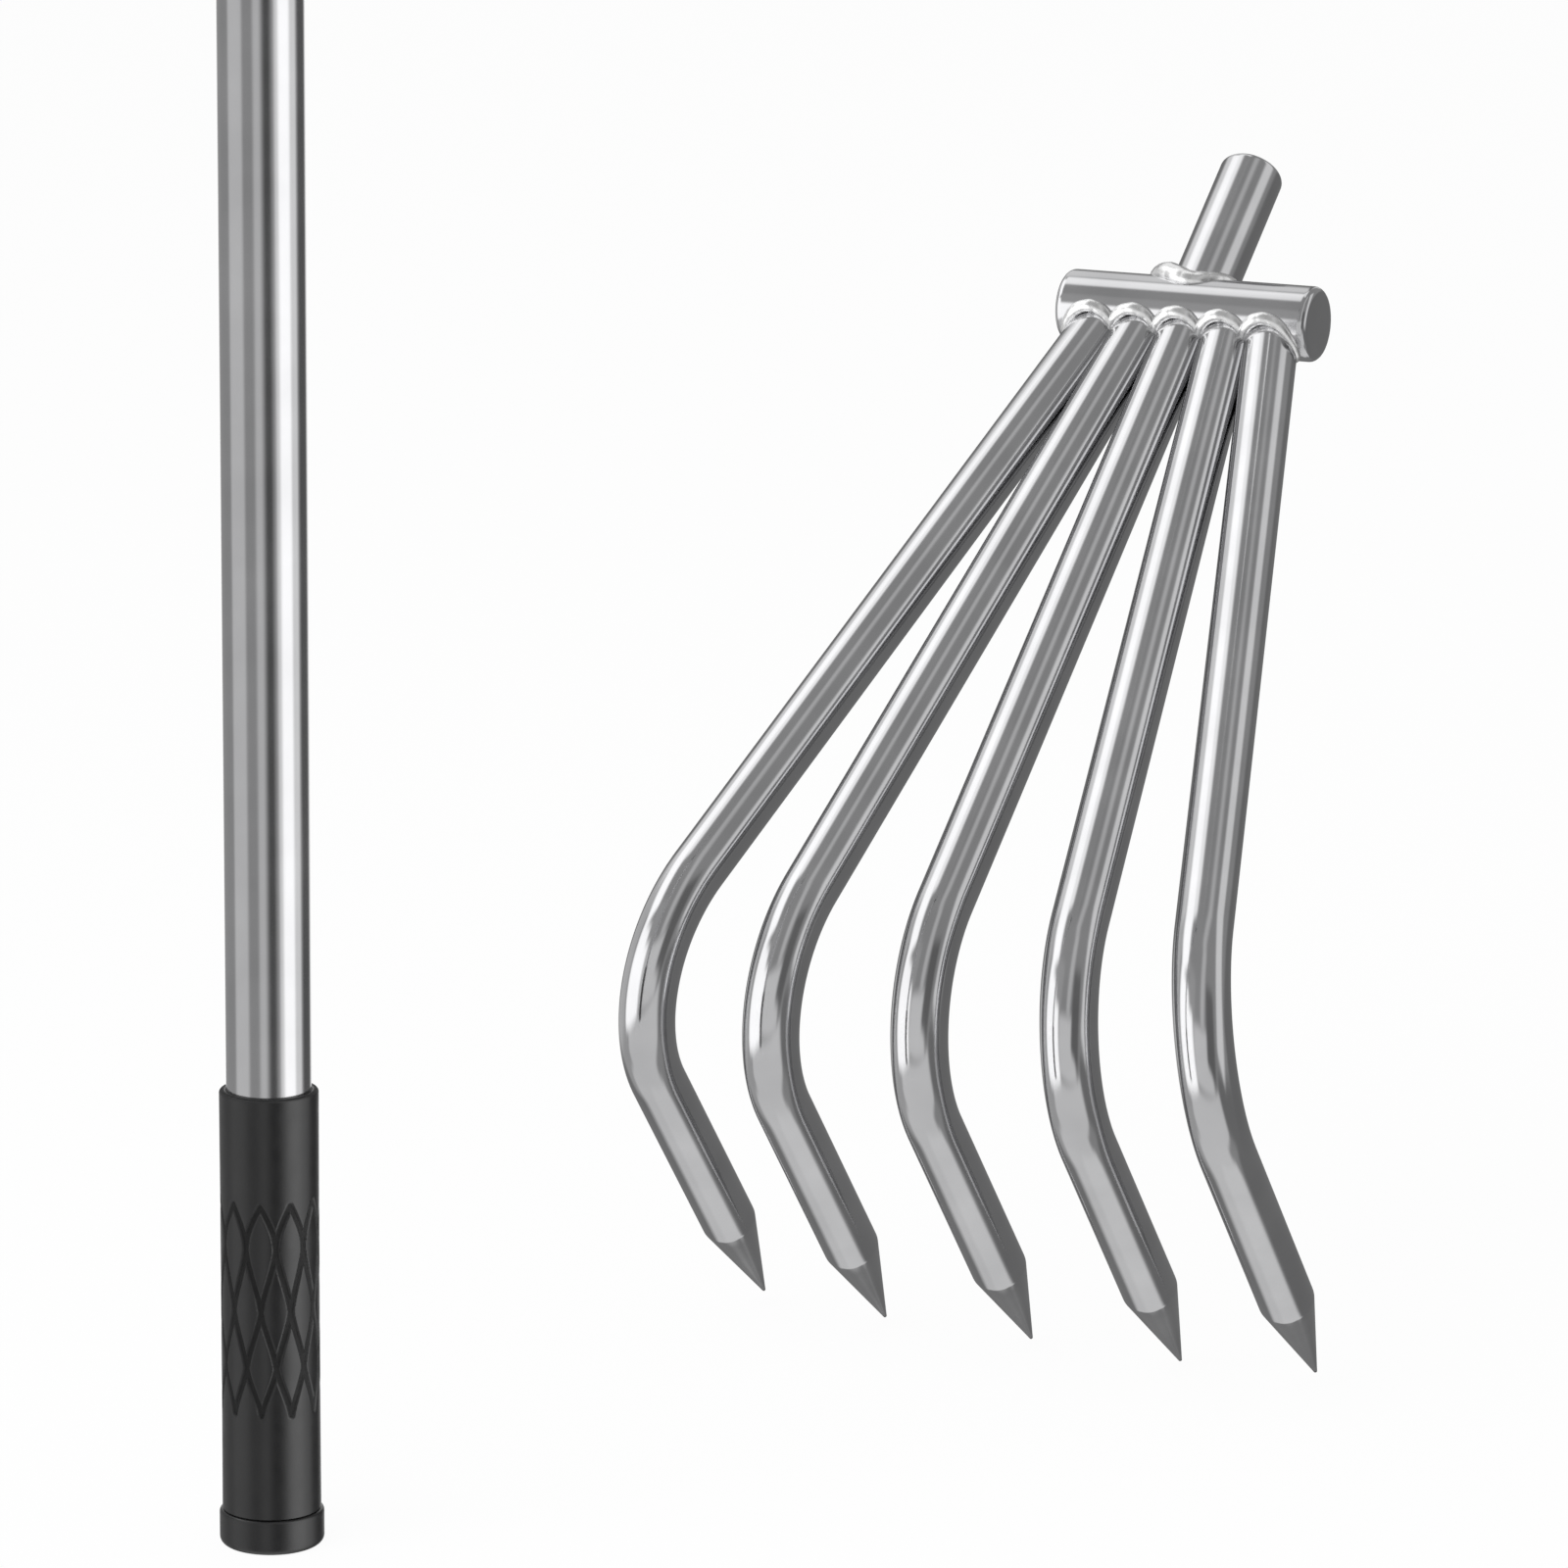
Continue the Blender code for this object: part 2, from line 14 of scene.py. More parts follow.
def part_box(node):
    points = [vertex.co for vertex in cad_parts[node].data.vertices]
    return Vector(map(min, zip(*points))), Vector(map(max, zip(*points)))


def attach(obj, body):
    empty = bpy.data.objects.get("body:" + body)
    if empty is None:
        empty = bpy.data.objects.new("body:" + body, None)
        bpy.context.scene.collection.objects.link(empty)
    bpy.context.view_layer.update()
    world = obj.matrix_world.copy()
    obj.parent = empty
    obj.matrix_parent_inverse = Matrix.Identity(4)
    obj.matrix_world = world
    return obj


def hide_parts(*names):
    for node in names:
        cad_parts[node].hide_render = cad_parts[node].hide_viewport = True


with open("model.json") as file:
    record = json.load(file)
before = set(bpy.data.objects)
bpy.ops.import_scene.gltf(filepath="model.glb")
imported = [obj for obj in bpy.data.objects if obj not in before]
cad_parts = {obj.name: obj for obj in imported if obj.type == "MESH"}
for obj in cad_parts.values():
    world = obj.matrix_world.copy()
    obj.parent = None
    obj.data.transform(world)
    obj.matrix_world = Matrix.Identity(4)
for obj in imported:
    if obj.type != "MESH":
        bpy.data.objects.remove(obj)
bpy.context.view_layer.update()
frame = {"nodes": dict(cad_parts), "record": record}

# Fineness of the meshes
TURN_STEPS = 144
ROD_SIDES = 72
BEAD_SIDES = 18
ROUND_STEPS = 6
ROUND_SHARE = 0.48  # of a side, the most that the rounding at one of its ends takes
SUPPORT = 0.0004  # from a rounded edge to the ring that holds its shading
SUPPORT_LEAST = 5 * SUPPORT  # straights longer than this get such rings
TINY = 1e-6  # metres, taken as nothing
CREASE = math.radians(40.0)

# Pole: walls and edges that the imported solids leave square
TUBE_WALL = 0.0009
TUBE_EDGE = 0.0002
GAP = 0.0003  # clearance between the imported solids
SNUG = 0.00005  # clearance of a pressed fit

# Butt cap
CAP_TOP_ROUND = 0.0008
CAP_BOTTOM_ROUND = 0.0020
CAP_FLOOR = 0.0030
CAP_TREAD_RADIUS = 0.0072
CAP_TREAD_WIDTH = 0.0011
CAP_TREAD_DEPTH = 0.0005

# Grip: sleeve, thinner in the middle by a hair, with three rows of diamonds cut into it
GRIP_WAIST = 0.00008  # radius lost at the waist
GRIP_LIP_ROUND = 0.0009
GRIP_FOOT_ROUND = 0.0004
GRIP_STEPS = 360
GRIP_ROW = 0.00024
DIAMONDS_ROUND = 10
DIAMOND_TURN = math.radians(-7.1)  # first column, from the front towards +X
DIAMOND_TOP = 0.0807
DIAMOND_CROSSINGS = (0.0705, 0.0564, 0.0434)
DIAMOND_BOTTOM = 0.0324
DIAMOND_STRAIGHT = 0.65  # 1 for straight sides, 0 for sides that run upright at the crossings
GROOVE_FLOOR = 0.00040  # half width of a groove's floor
GROOVE_MOUTH = 0.00084  # half width at the surface
GROOVE_DEPTH = 0.00045

# Twist locks
FERRULE_WALL = 0.0018
FERRULE_LIP = 0.0028
FERRULE_GROOVES = (0.0040, 0.0065)
FERRULE_GROOVE_HALF = 0.00045
FERRULE_GROOVE_DEPTH = 0.0003
COLLET_TAPER = 0.0011  # widening of the collet's seat, on the radius
MACHINED_EDGE = 0.0005
NUT_WALL = 0.0022
NUT_CROWN = 0.0025
NUT_EDGE = 0.0007
NUT_FLUTES = 12
FLUTE_RADIUS = 0.0020
FLUTE_DEPTH = 0.0006
NUT_STEPS = 288

# Socket and thumb screw
SOCKET_WALL = 0.0022
SOCKET_CONE = 0.006
SOCKET_CONE_ROUND = 0.0020
SOCKET_WEB = 0.0033
SOCKET_SKIRT = 0.025
BOSS_RADIUS = 0.0055
BOSS_REACH = 0.006
BOSS_FLARE = 0.0016
STUD_RADIUS = 0.0025
STUD_PITCH = 0.0008
STUD_THREAD = 0.00045
STUD_EDGE = 0.0006
STUD_ROW = 0.00009
KNOB_FLUTES = 8
KNOB_EDGE = 0.0009
KNOB_DISH_RADIUS = 0.0058
KNOB_DISH_DEPTH = 0.0009
PIN_RADIUS = 0.0016
PIN_HEAD_RADIUS = 0.0027
PIN_HEAD_HEIGHT = 0.0012

# Claw head, in its own frame: X along the crossbar, Y along the stem, hooks towards -Z
STEM_RADIUS = 0.00825
STEM_REACH = 0.0395
STEM_END_ROUND = 0.0012
BAR_RADIUS = 0.0095
BAR_HALF = 0.0344
BAR_END_ROUND = 0.0020
TINE_RADIUS = 0.0069
TINE_SPACING = 0.0110
TINE_FAN = (-13.33, -7.34, 0.0, 7.34, 13.33)  # degrees from the stem's line
SHANK_LENGTH = 0.2273
SHANK_STEP = 0.0019
HOOK_LENGTH = 0.1281
BEND_RADIUS = 0.0386
POINT_LENGTH = 0.0310
POINT_RADIUS = 0.00035
STRAIGHT_STEPS = 24
BEND_STEPS = 48
POINT_STEPS = 12
SHOULDER = 0.0005  # rounding where the point starts
BEAD_RADIUS = 0.0011
BEAD_HEAP = 0.0015  # how far a bead is heaped away from its rod, where it is heaped most
BEAD_LEAN = math.radians(100.0)  # where that is round a tine, from its right over its top
BEAD_SWELL = 0.4  # a heap's extra half width, by how far it is heaped
BEAD_PEAK = 4  # 1 for a heap spread all round the rod, more for a narrower one
STEM_BEAD_RADIUS = 0.0022
STEM_BEAD_HEAP = 0.0030
STEM_BEAD_LEAN = math.radians(170.0)
BEAD_FLAT = 0.8  # a bead's height by its half width
BEAD_STEPS = 240
BEAD_RIPPLES = 18
BEAD_RIPPLE = 0.04
BEAD_WANDER = 0.12
WANDER_PACE = 2  # how fast that changes round a rod

# Camera, fitted to the photograph
FOCAL_PIXELS = 6959.0
FRAME_PIXELS = 1600.0
SENSOR = 36.0
CAMERA_TARGET = Vector((0.11384, 0.0, 0.17523))
CAMERA_DISTANCE = 1.5
CAMERA_ELEVATION = math.radians(12.0)
CAMERA_ROLL = math.radians(0.48)
CAMERA_NEAR = 0.05
CAMERA_FAR = 56.0

# Materials: colours, gloss and the scale of their noise, per metre
NOISE_LOW = 0.3  # most of a noise lies between these two
NOISE_HIGH = 0.7
RUBBER_DARK = (0.0035, 0.0035, 0.004)
RUBBER_LIGHT = (0.006, 0.006, 0.0065)
RUBBER_SMOOTH = 0.30
RUBBER_ROUGH = 0.38
RUBBER_SPECULAR = 0.85
RUBBER_PORE = 2600.0
RUBBER_RELIEF = 0.22
# painted shade: the colour a groove's floor is darkened to, below the rubber's own
GROOVE_PAINTED_SHADE = (0.002, 0.002, 0.0022)
GROOVE_DULL = 0.5  # roughness added on a groove's floor
MOULD_CLOUD = 90.0
MOULD_GLOSS = 260.0
PORE_DETAIL = 2.0
PORE_DEPTH = 0.00006
MIX_COLOURS = (6, 7)  # sockets of a mix node's two colours
MIX_COLOUR_RESULT = 2

# Studio: a white backdrop, and in gloss the cards and flags that stand before it, each laid over the
# ones above it in the list, as azimuth (0 towards the front, + to the right), elevation, half width,
# half height and twist in degrees, and brightness
BACKDROP = 1.0
CARDS = {
    "room_left": (-62, 0, 80, 95, 0, 0.34),
    "room_right": (78, 0, 80, 95, 0, 0.32),
    "back_shade": (-170, 22, 24, 38, 0, 0.20),
    "back_low_shade": (-168, -38, 30, 22, 0, 0.20),
    "right_back_shade": (128, -22, 42, 32, 0, 0.19),
    "right_low_shade": (62, -22, 26, 14, 0, 0.20),
    "left_low_fill": (-120, -40, 20, 22, 0, 0.45),
    "left_low_shade": (-150, -42, 12, 14, 0, 0.22),
    "table_left": (-92, -60, 16, 14, 0, 0.73),
    "table_under": (70, -86, 30, 30, 0, 0.73),
    "table_side": (88, -74, 14, 20, 0, 0.80),
    "table_front": (-22, -50, 52, 22, 0, 0.73),
    "under_back_shade": (163, -56, 22, 14, 0, 0.24),
    "front_glow": (-12, -6, 30, 20, 0, 0.74),
    "front_shade": (23, 12, 14, 24, -20, 0.16),
    "long_strip": (2, 38, 7, 26, -22, 0.60),
    "overhead_strip": (45, 70, 17, 6, 15, 0.58),
    "left_fill": (-128, 4, 22, 28, 0, 0.58),
    "left_edge_high": (-137, 34, 11, 13, 0, 0.90),
    "left_window": (-72, -2, 27, 27, 0, 1.55),
    "left_window_high": (-103, 43, 24, 15, -33, 1.58),
    "bar_top": (-168, 38, 12, 20, 0, 0.85),
    "high_edge": (-124, 65, 13, 6, 0, 1.30),
    "bar_flag": (-48, 29, 12, 13, 0, 0.42),
    "right_window": (77, 22, 13, 36, -45, 0.85),
}
# A tent of paper strips stands round the pole, which shows them and not the cards further off
TENT_LEVEL = 0.33
TENT_STRIPS = {
    "left": (-65, 0, 21, 70, 0, 0.65),
    "front": (-7, 0, 9, 70, 0, 0.62),
    "front_gap": (17, 0, 9, 70, 0, 0.10),
    "right": (77, 0, 22, 70, 0, 0.90),
    "right_front": (59, 0, 18, 70, 0, 1.52),
    "right_edge": (40, 0, 5, 70, 0, 0.90),
    "right_gap": (124, 0, 18, 70, 0, 0.12),
    "back": (180, 0, 30, 70, 0, 0.90),
}
TENT_RADIUS = 0.06
TENT_LOW = -0.06
TENT_HIGH = 1.9
TENT_SIGHT = 0.08  # gloss from further away sees past the tent
CARD_FEATHER = 5.0
AMBIENT = 0.55
KEY_POWER = 22.0
KEY_PLACE = Vector((-0.7, -0.9, 1.7))
KEY_SIZE = 1.4
FLOOR_HALF = 14.0
FLOOR_PAPER = (0.95, 0.95, 0.95, 1.0)
FLOOR_WHITE = 0.95  # share of the floor's white that shadows don't reach


# Meshes


def rounded(corners, closed=True):
    """Outline through (radius, height, rounding) corners, with arcs at the rounded ones."""
    points = []
    count = len(corners)
    for index, (radius, height, rounding) in enumerate(corners):
        here = Vector((radius, height))
        if not rounding or (not closed and index in (0, count - 1)):
            points.append(here)
            continue
        back = Vector(corners[index - 1][:2]) - here
        ahead = Vector(corners[(index + 1) % count][:2]) - here
        half = back.angle(ahead) / 2
        reach = min(rounding / math.tan(half), ROUND_SHARE * back.length, ROUND_SHARE * ahead.length)
        centre = here + (back.normalized() + ahead.normalized()).normalized() * reach / math.cos(half)
        start = here + back.normalized() * reach - centre
        end = here + ahead.normalized() * reach - centre
        sweep = start.angle(end)
        for step in range(ROUND_STEPS + 1):
            share = step / ROUND_STEPS
            swing = start * math.sin((1 - share) * sweep) + end * math.sin(share * sweep)
            points.append(centre + swing / math.sin(sweep))
    return supported(points, closed)


def supported(points, closed):
    """The outline with a point near both ends of each long straight."""
    made = []
    count = len(points)
    for index, point in enumerate(points):
        made.append(point)
        if index == count - 1 and not closed:
            break
        step = points[(index + 1) % count] - point
        if step.length > SUPPORT_LEAST:
            made.append(point + step.normalized() * SUPPORT)
            made.append(point + step - step.normalized() * SUPPORT)
    return made


def skin(name, rings, around, loop):
    """A mesh over rings of points, with a map of metres round and along.

    A ring of one point closes the mesh there.
    """
    shape = bmesh.new()
    grain = shape.loops.layers.uv.new("grain")
    sides = max(len(ring) for ring in rings)
    verts = [[shape.verts.new(point) for point in ring] for ring in rings]
    along = [0.0]
    for index in range(len(rings)):
        along.append(along[-1] + (rings[(index + 1) % len(rings)][0] - rings[index][0]).length)
    for index in range(len(rings) if loop else len(rings) - 1):
        following = (index + 1) % len(rings)
        for side in range(sides):
            corners = [(index, side, index), (index, side + 1, index)]
            corners += [(following, side + 1, index + 1), (following, side, index + 1)]
            face_verts = []
            places = []
            for ring, step, row in corners:
                vert = verts[ring][step % len(verts[ring])]
                if vert not in face_verts:
                    face_verts.append(vert)
                    places.append((around * step / sides, along[row]))
            face = shape.faces.new(face_verts)
            face.smooth = True
            for corner, place in zip(face.loops, places):
                corner[grain].uv = place
    bmesh.ops.recalc_face_normals(shape, faces=shape.faces)
    mesh = bpy.data.meshes.new(name)
    shape.to_mesh(mesh)
    shape.free()
    mesh.set_sharp_from_angle(angle=CREASE)
    return mesh


def turned(name, outline, steps=TURN_STEPS, closed=True, trim=None):
    """A mesh turned about Z. trim(angle, height) is the largest radius left standing there."""
    rings = []
    for radius, height in outline:
        if radius < TINY:
            rings.append([Vector((0, 0, height))])
            continue
        ring = []
        for step in range(steps):
            angle = 2 * math.pi * step / steps
            reach = min(radius, trim(angle, height)) if trim else radius
            ring.append(Vector((reach * math.cos(angle), reach * math.sin(angle), height)))
        rings.append(ring)
    widest = max(point[0] for point in outline)
    return skin(name, rings, 2 * math.pi * widest, closed)


def swept(name, stations, sides, loop=False):
    """A mesh of ellipses along a path. A station is a centre and the ellipse's two half axes."""
    rings = []
    for centre, first, second in stations:
        if first.length < TINY:
            rings.append([centre])
            continue
        ring = []
        for side in range(sides):
            angle = 2 * math.pi * side / sides
            ring.append(centre + first * math.cos(angle) + second * math.sin(angle))
        rings.append(ring)
    widest = max(first.length for _, first, _ in stations)
    return skin(name, rings, 2 * math.pi * widest, loop)


def drilled(mesh, place, radius, start, end):
    """The mesh with a round hole along the Z of a frame."""
    name = mesh.name
    corners = [(0.0, end, 0.0), (radius, end, 0.0), (radius, start, 0.0), (0.0, start, 0.0)]
    drill = turned("drill", rounded(corners, closed=False), ROD_SIDES, closed=False)
    blank_piece = bpy.data.objects.new("blank", mesh)
    drill_piece = bpy.data.objects.new("drill", drill)
    drill_piece.matrix_world = place
    bpy.context.scene.collection.objects.link(blank_piece)
    bpy.context.scene.collection.objects.link(drill_piece)
    hole = blank_piece.modifiers.new("hole", "BOOLEAN")
    hole.operation = "DIFFERENCE"
    hole.solver = "EXACT"
    hole.object = drill_piece
    made = blank_piece.evaluated_get(bpy.context.evaluated_depsgraph_get())
    result = bpy.data.meshes.new_from_object(made)
    bpy.data.objects.remove(blank_piece)
    bpy.data.objects.remove(drill_piece)
    bpy.data.meshes.remove(mesh)
    bpy.data.meshes.remove(drill)
    result.name = name
    result.set_sharp_from_angle(angle=CREASE)
    return result


def add_piece(mesh, material, body, nodes=(), place=None):
    """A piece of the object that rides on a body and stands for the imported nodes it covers."""
    if place:
        mesh.transform(place)
    piece = bpy.data.objects.new(mesh.name, mesh)
    bpy.context.scene.collection.objects.link(piece)
    mesh.materials.append(material)
    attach(piece, body)
    if nodes:
        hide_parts(*nodes)


# Materials


def add_node(tree, kind, inputs=None, **settings):
    """A node with its settings made, and each input set or joined to a socket."""
    node = tree.nodes.new(kind)
    for name, value in settings.items():
        setattr(node, name, value)
    for name, value in (inputs or {}).items():
        if isinstance(value, bpy.types.NodeSocket):
            tree.links.new(value, node.inputs[name])
        else:
            node.inputs[name].default_value = value
    return node


def new_material(name, metallic, specular=0.5):
    """A material, its node tree and its shader."""
    material = bpy.data.materials.new(name)
    material.use_nodes = True
    tree = material.node_tree
    shader = tree.nodes["Principled BSDF"]
    shader.inputs["Metallic"].default_value = metallic
    shader.inputs["Specular IOR Level"].default_value = specular
    return material, tree, shader


def blotches(tree, scale, detail=3.0):
    """Soft noise in the object's own space."""
    place = add_node(tree, "ShaderNodeTexCoord").outputs["Object"]
    inputs = {"Vector": place, "Scale": scale, "Detail": detail}
    return add_node(tree, "ShaderNodeTexNoise", inputs).outputs["Fac"]


def streaks(tree, across, along, detail=4.0):
    """Noise drawn out along the piece, or round it where across is the smaller."""
    surface = add_node(tree, "ShaderNodeUVMap", uv_map="grain").outputs["UV"]
    drawn = add_node(tree, "ShaderNodeMapping", {"Vector": surface, "Scale": (across, along, 1.0)})
    inputs = {"Vector": drawn.outputs["Vector"], "Scale": 1.0, "Detail": detail}
    return add_node(tree, "ShaderNodeTexNoise", inputs).outputs["Fac"]


def spread(tree, value, low, high, from_low=NOISE_LOW, from_high=NOISE_HIGH):
    """The value mapped from the middle of a noise's range to low and high."""
    inputs = {"Value": value, "From Min": from_low, "From Max": from_high, "To Min": low, "To Max": high}
    return add_node(tree, "ShaderNodeMapRange", inputs).outputs["Result"]


def tint(tree, value, dark, light):
    """A colour between two, by a noise value."""
    ramp = add_node(tree, "ShaderNodeValToRGB", {"Fac": value})
    ramp.color_ramp.elements[0].position = NOISE_LOW
    ramp.color_ramp.elements[0].color = (*dark, 1.0)
    ramp.color_ramp.elements[1].position = NOISE_HIGH
    ramp.color_ramp.elements[1].color = (*light, 1.0)
    return ramp.outputs["Color"]


def join(tree, shader, socket, value):
    """A value led into one of the shader's sockets."""
    tree.links.new(value, shader.inputs[socket])


def relief(tree, shader, height, strength, depth):
    """Bump on the shader, by a height between 0 and 1."""
    inputs = {"Height": height, "Strength": strength, "Distance": depth}
    join(tree, shader, "Normal", add_node(tree, "ShaderNodeBump", inputs).outputs["Normal"])


def polished_steel(name, dark, light, smooth, rough):
    """Drawn and polished steel: fine lines along the piece, faint cloudy handling marks."""
    material, tree, shader = new_material(name, 1.0)
    lines = streaks(tree, across=7000.0, along=35.0)
    cloud = blotches(tree, scale=55.0)
    join(tree, shader, "Base Color", tint(tree, cloud, dark, light))
    mixed = add_node(tree, "ShaderNodeMath", {0: lines, 1: cloud}, operation="MULTIPLY").outputs["Value"]
    join(tree, shader, "Roughness", spread(tree, mixed, smooth, rough, from_low=0.12, from_high=0.42))
    relief(tree, shader, lines, strength=0.03, depth=0.00001)
    return material


def weld_steel(name, dark, light, smooth, rough):
    """Weld metal with a fine frozen ripple, its colour set lighter than the tines' steel as a painted
    highlight.
    """
    material, tree, shader = new_material(name, 1.0)
    grit = blotches(tree, scale=1400.0)
    join(tree, shader, "Base Color", tint(tree, grit, dark, light))
    join(tree, shader, "Roughness", spread(tree, blotches(tree, scale=500.0), smooth, rough))
    relief(tree, shader, grit, strength=0.1, depth=0.00005)
    return material


def turned_metal(name, dark, light, smooth, rough):
    """Satin metal with lathe lines round it."""
    material, tree, shader = new_material(name, 1.0)
    lines = streaks(tree, across=30.0, along=6000.0)
    join(tree, shader, "Base Color", tint(tree, blotches(tree, scale=120.0), dark, light))
    join(tree, shader, "Roughness", spread(tree, lines, smooth, rough))
    relief(tree, shader, lines, strength=0.25, depth=0.00002)
    return material


def moulded(name, dark, light, smooth, rough, pore, strength, specular=0.5):
    """Moulded rubber or plastic: fine pores and uneven gloss."""
    material, tree, shader = new_material(name, 0.0, specular)
    join(tree, shader, "Base Color", tint(tree, blotches(tree, MOULD_CLOUD), dark, light))
    join(tree, shader, "Roughness", spread(tree, blotches(tree, MOULD_GLOSS), smooth, rough))
    relief(tree, shader, blotches(tree, pore, PORE_DETAIL), strength, PORE_DEPTH)
    return material


def grip_rubber():
    """Matt rubber, duller down in the grooves, where painted shade darkens its colour."""
    material, tree, shader = new_material("grip_rubber", 0.0, RUBBER_SPECULAR)
    # Painted shade: the colour is mixed towards near black by how deep in a groove a point lies
    groove = add_node(tree, "ShaderNodeAttribute", attribute_name="groove").outputs["Fac"]
    plain = tint(tree, blotches(tree, MOULD_CLOUD), RUBBER_DARK, RUBBER_LIGHT)
    inputs = {0: groove, MIX_COLOURS[0]: plain, MIX_COLOURS[1]: (*GROOVE_PAINTED_SHADE, 1.0)}
    shaded = add_node(tree, "ShaderNodeMix", inputs, data_type="RGBA")
    join(tree, shader, "Base Color", shaded.outputs[MIX_COLOUR_RESULT])
    gloss = spread(tree, blotches(tree, MOULD_GLOSS), RUBBER_SMOOTH, RUBBER_ROUGH)
    inputs = {0: groove, 1: GROOVE_DULL, 2: gloss}
    duller = add_node(tree, "ShaderNodeMath", inputs, operation="MULTIPLY_ADD")
    join(tree, shader, "Roughness", duller.outputs["Value"])
    relief(tree, shader, blotches(tree, RUBBER_PORE, PORE_DETAIL), RUBBER_RELIEF, PORE_DEPTH)
    return material


POLE_STEEL = polished_steel(
    "pole_steel",
    dark=(0.60, 0.60, 0.61),
    light=(0.66, 0.66, 0.67),
    smooth=0.10,
    rough=0.19,
)
CLAW_STEEL = polished_steel(
    "claw_steel",
    dark=(0.58, 0.58, 0.59),
    light=(0.65, 0.65, 0.66),
    smooth=0.08,
    rough=0.16,
)
# Painted highlight: the beads' colour is near white, far lighter than the tines' steel, so that they
# read bright
WELD_STEEL_PAINTED_BRIGHT = weld_steel(
    "weld_bead",
    dark=(0.90, 0.90, 0.90),
    light=(0.97, 0.97, 0.97),
    smooth=0.24,
    rough=0.34,
)
SCREW_STEEL = turned_metal(
    "screw_steel",
    dark=(0.50, 0.50, 0.51),
    light=(0.60, 0.60, 0.61),
    smooth=0.24,
    rough=0.36,
)
LOCK_ALLOY = turned_metal(
    "lock_alloy",
    dark=(0.42, 0.42, 0.43),
    light=(0.50, 0.50, 0.51),
    smooth=0.28,
    rough=0.42,
)
GRIP_RUBBER = grip_rubber()
CAP_RUBBER = moulded(
    "cap_rubber",
    dark=RUBBER_DARK,
    light=RUBBER_LIGHT,
    smooth=RUBBER_SMOOTH,
    rough=RUBBER_ROUGH,
    pore=RUBBER_PORE,
    strength=RUBBER_RELIEF,
    specular=RUBBER_SPECULAR,
)
LOCK_PLASTIC = moulded(
    "lock_plastic",
    dark=(0.018, 0.018, 0.020),
    light=(0.028, 0.028, 0.030),
    smooth=0.34,
    rough=0.46,
    pore=1900.0,
    strength=0.30,
)
GUIDE_NYLON = moulded(
    "guide_nylon",
    dark=(0.66, 0.65, 0.60),
    light=(0.76, 0.75, 0.71),
    smooth=0.42,
    rough=0.54,
    pore=1500.0,
    strength=0.12,
)


# Butt cap, base tube and grip


def make_tube(stage, body):
    """One section of the pole, with rounded lips. Gives its radius."""
    low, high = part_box(stage + "_tube")
    radius = high.x
    bore = radius - TUBE_WALL
    corners = [(radius, high.z), (radius, low.z), (bore, low.z), (bore, high.z)]
    outline = rounded([(r, z, TUBE_EDGE) for r, z in corners])
    mesh = turned(stage + "_tube_polished", outline)
    add_piece(mesh, POLE_STEEL, body, [stage + "_tube"])
    return radius


def make_cap(tube_radius):
    """Cap with a plug inside the tube, a cup round it and a ring pressed into its underside."""
    low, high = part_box("butt_cap")
    cap_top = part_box("grip_sleeve")[0].z
    plug = tube_radius - TUBE_WALL - 2 * GAP
    cup = tube_radius + GAP
    outer = high.x
    tread = CAP_TREAD_RADIUS
    corners = [
        (0.0, high.z, 0.0),
        (plug, high.z, MACHINED_EDGE),
        (plug, CAP_FLOOR, 0.0),
        (cup, CAP_FLOOR, 0.0),
        (cup, cap_top, TUBE_EDGE),
        (outer, cap_top, CAP_TOP_ROUND),
        (outer, low.z, CAP_BOTTOM_ROUND),
        (tread + CAP_TREAD_WIDTH, low.z, TUBE_EDGE),
        (tread + CAP_TREAD_WIDTH, low.z + CAP_TREAD_DEPTH, TUBE_EDGE),
        (tread, low.z + CAP_TREAD_DEPTH, TUBE_EDGE),
        (tread, low.z, TUBE_EDGE),
        (0.0, low.z, 0.0),
    ]
    mesh = turned("butt_cap_moulded", rounded(corners, closed=False), closed=False)
    add_piece(mesh, CAP_RUBBER, "pole_base", ["butt_cap"])


def diamond_half_width(height):
    """Half width of the front column's diamonds at a height, as a share of the column pitch."""
    first, second, third = DIAMOND_CROSSINGS
    if height > first:
        share = (DIAMOND_TOP - height) / (DIAMOND_TOP - first)
        return 0.5 * math.sin(math.pi / 2 * share)
    if height > second:
        share = (height - second) / (first - second)
    elif height > third:
        share = (second - height) / (second - third)
    else:
        share = (height - DIAMOND_BOTTOM) / (third - DIAMOND_BOTTOM)
    curved = (1 - math.cos(math.pi * share)) / 2
    return 0.5 * (DIAMOND_STRAIGHT * share + (1 - DIAMOND_STRAIGHT) * curved)


def groove_share(angle, height, pitch):
    """1 on a groove's floor, 0 on the plain surface."""
    column = (angle + math.pi / 2 - DIAMOND_TURN) * DIAMONDS_ROUND / (2 * math.pi)
    across = abs(column - round(column)) * pitch
    if DIAMOND_BOTTOM < height < DIAMOND_TOP:
        step = GRIP_ROW / 2
        above = diamond_half_width(min(height + step, DIAMOND_TOP))
        below = diamond_half_width(max(height - step, DIAMOND_BOTTOM))
        slope = (above - below) * pitch / (2 * step)
        distance = abs(across - diamond_half_width(height) * pitch) / math.hypot(1.0, slope)
        end = DIAMOND_TOP if height > DIAMOND_CROSSINGS[1] else DIAMOND_BOTTOM
        distance = min(distance, math.hypot(across, height - end))
    else:
        end = DIAMOND_TOP if height > DIAMOND_CROSSINGS[1] else DIAMOND_BOTTOM
        distance = math.hypot(across, height - end)
    share = (GROOVE_MOUTH - distance) / (GROOVE_MOUTH - GROOVE_FLOOR)
    share = max(0.0, min(1.0, share))
    return share * share * (3 - 2 * share)


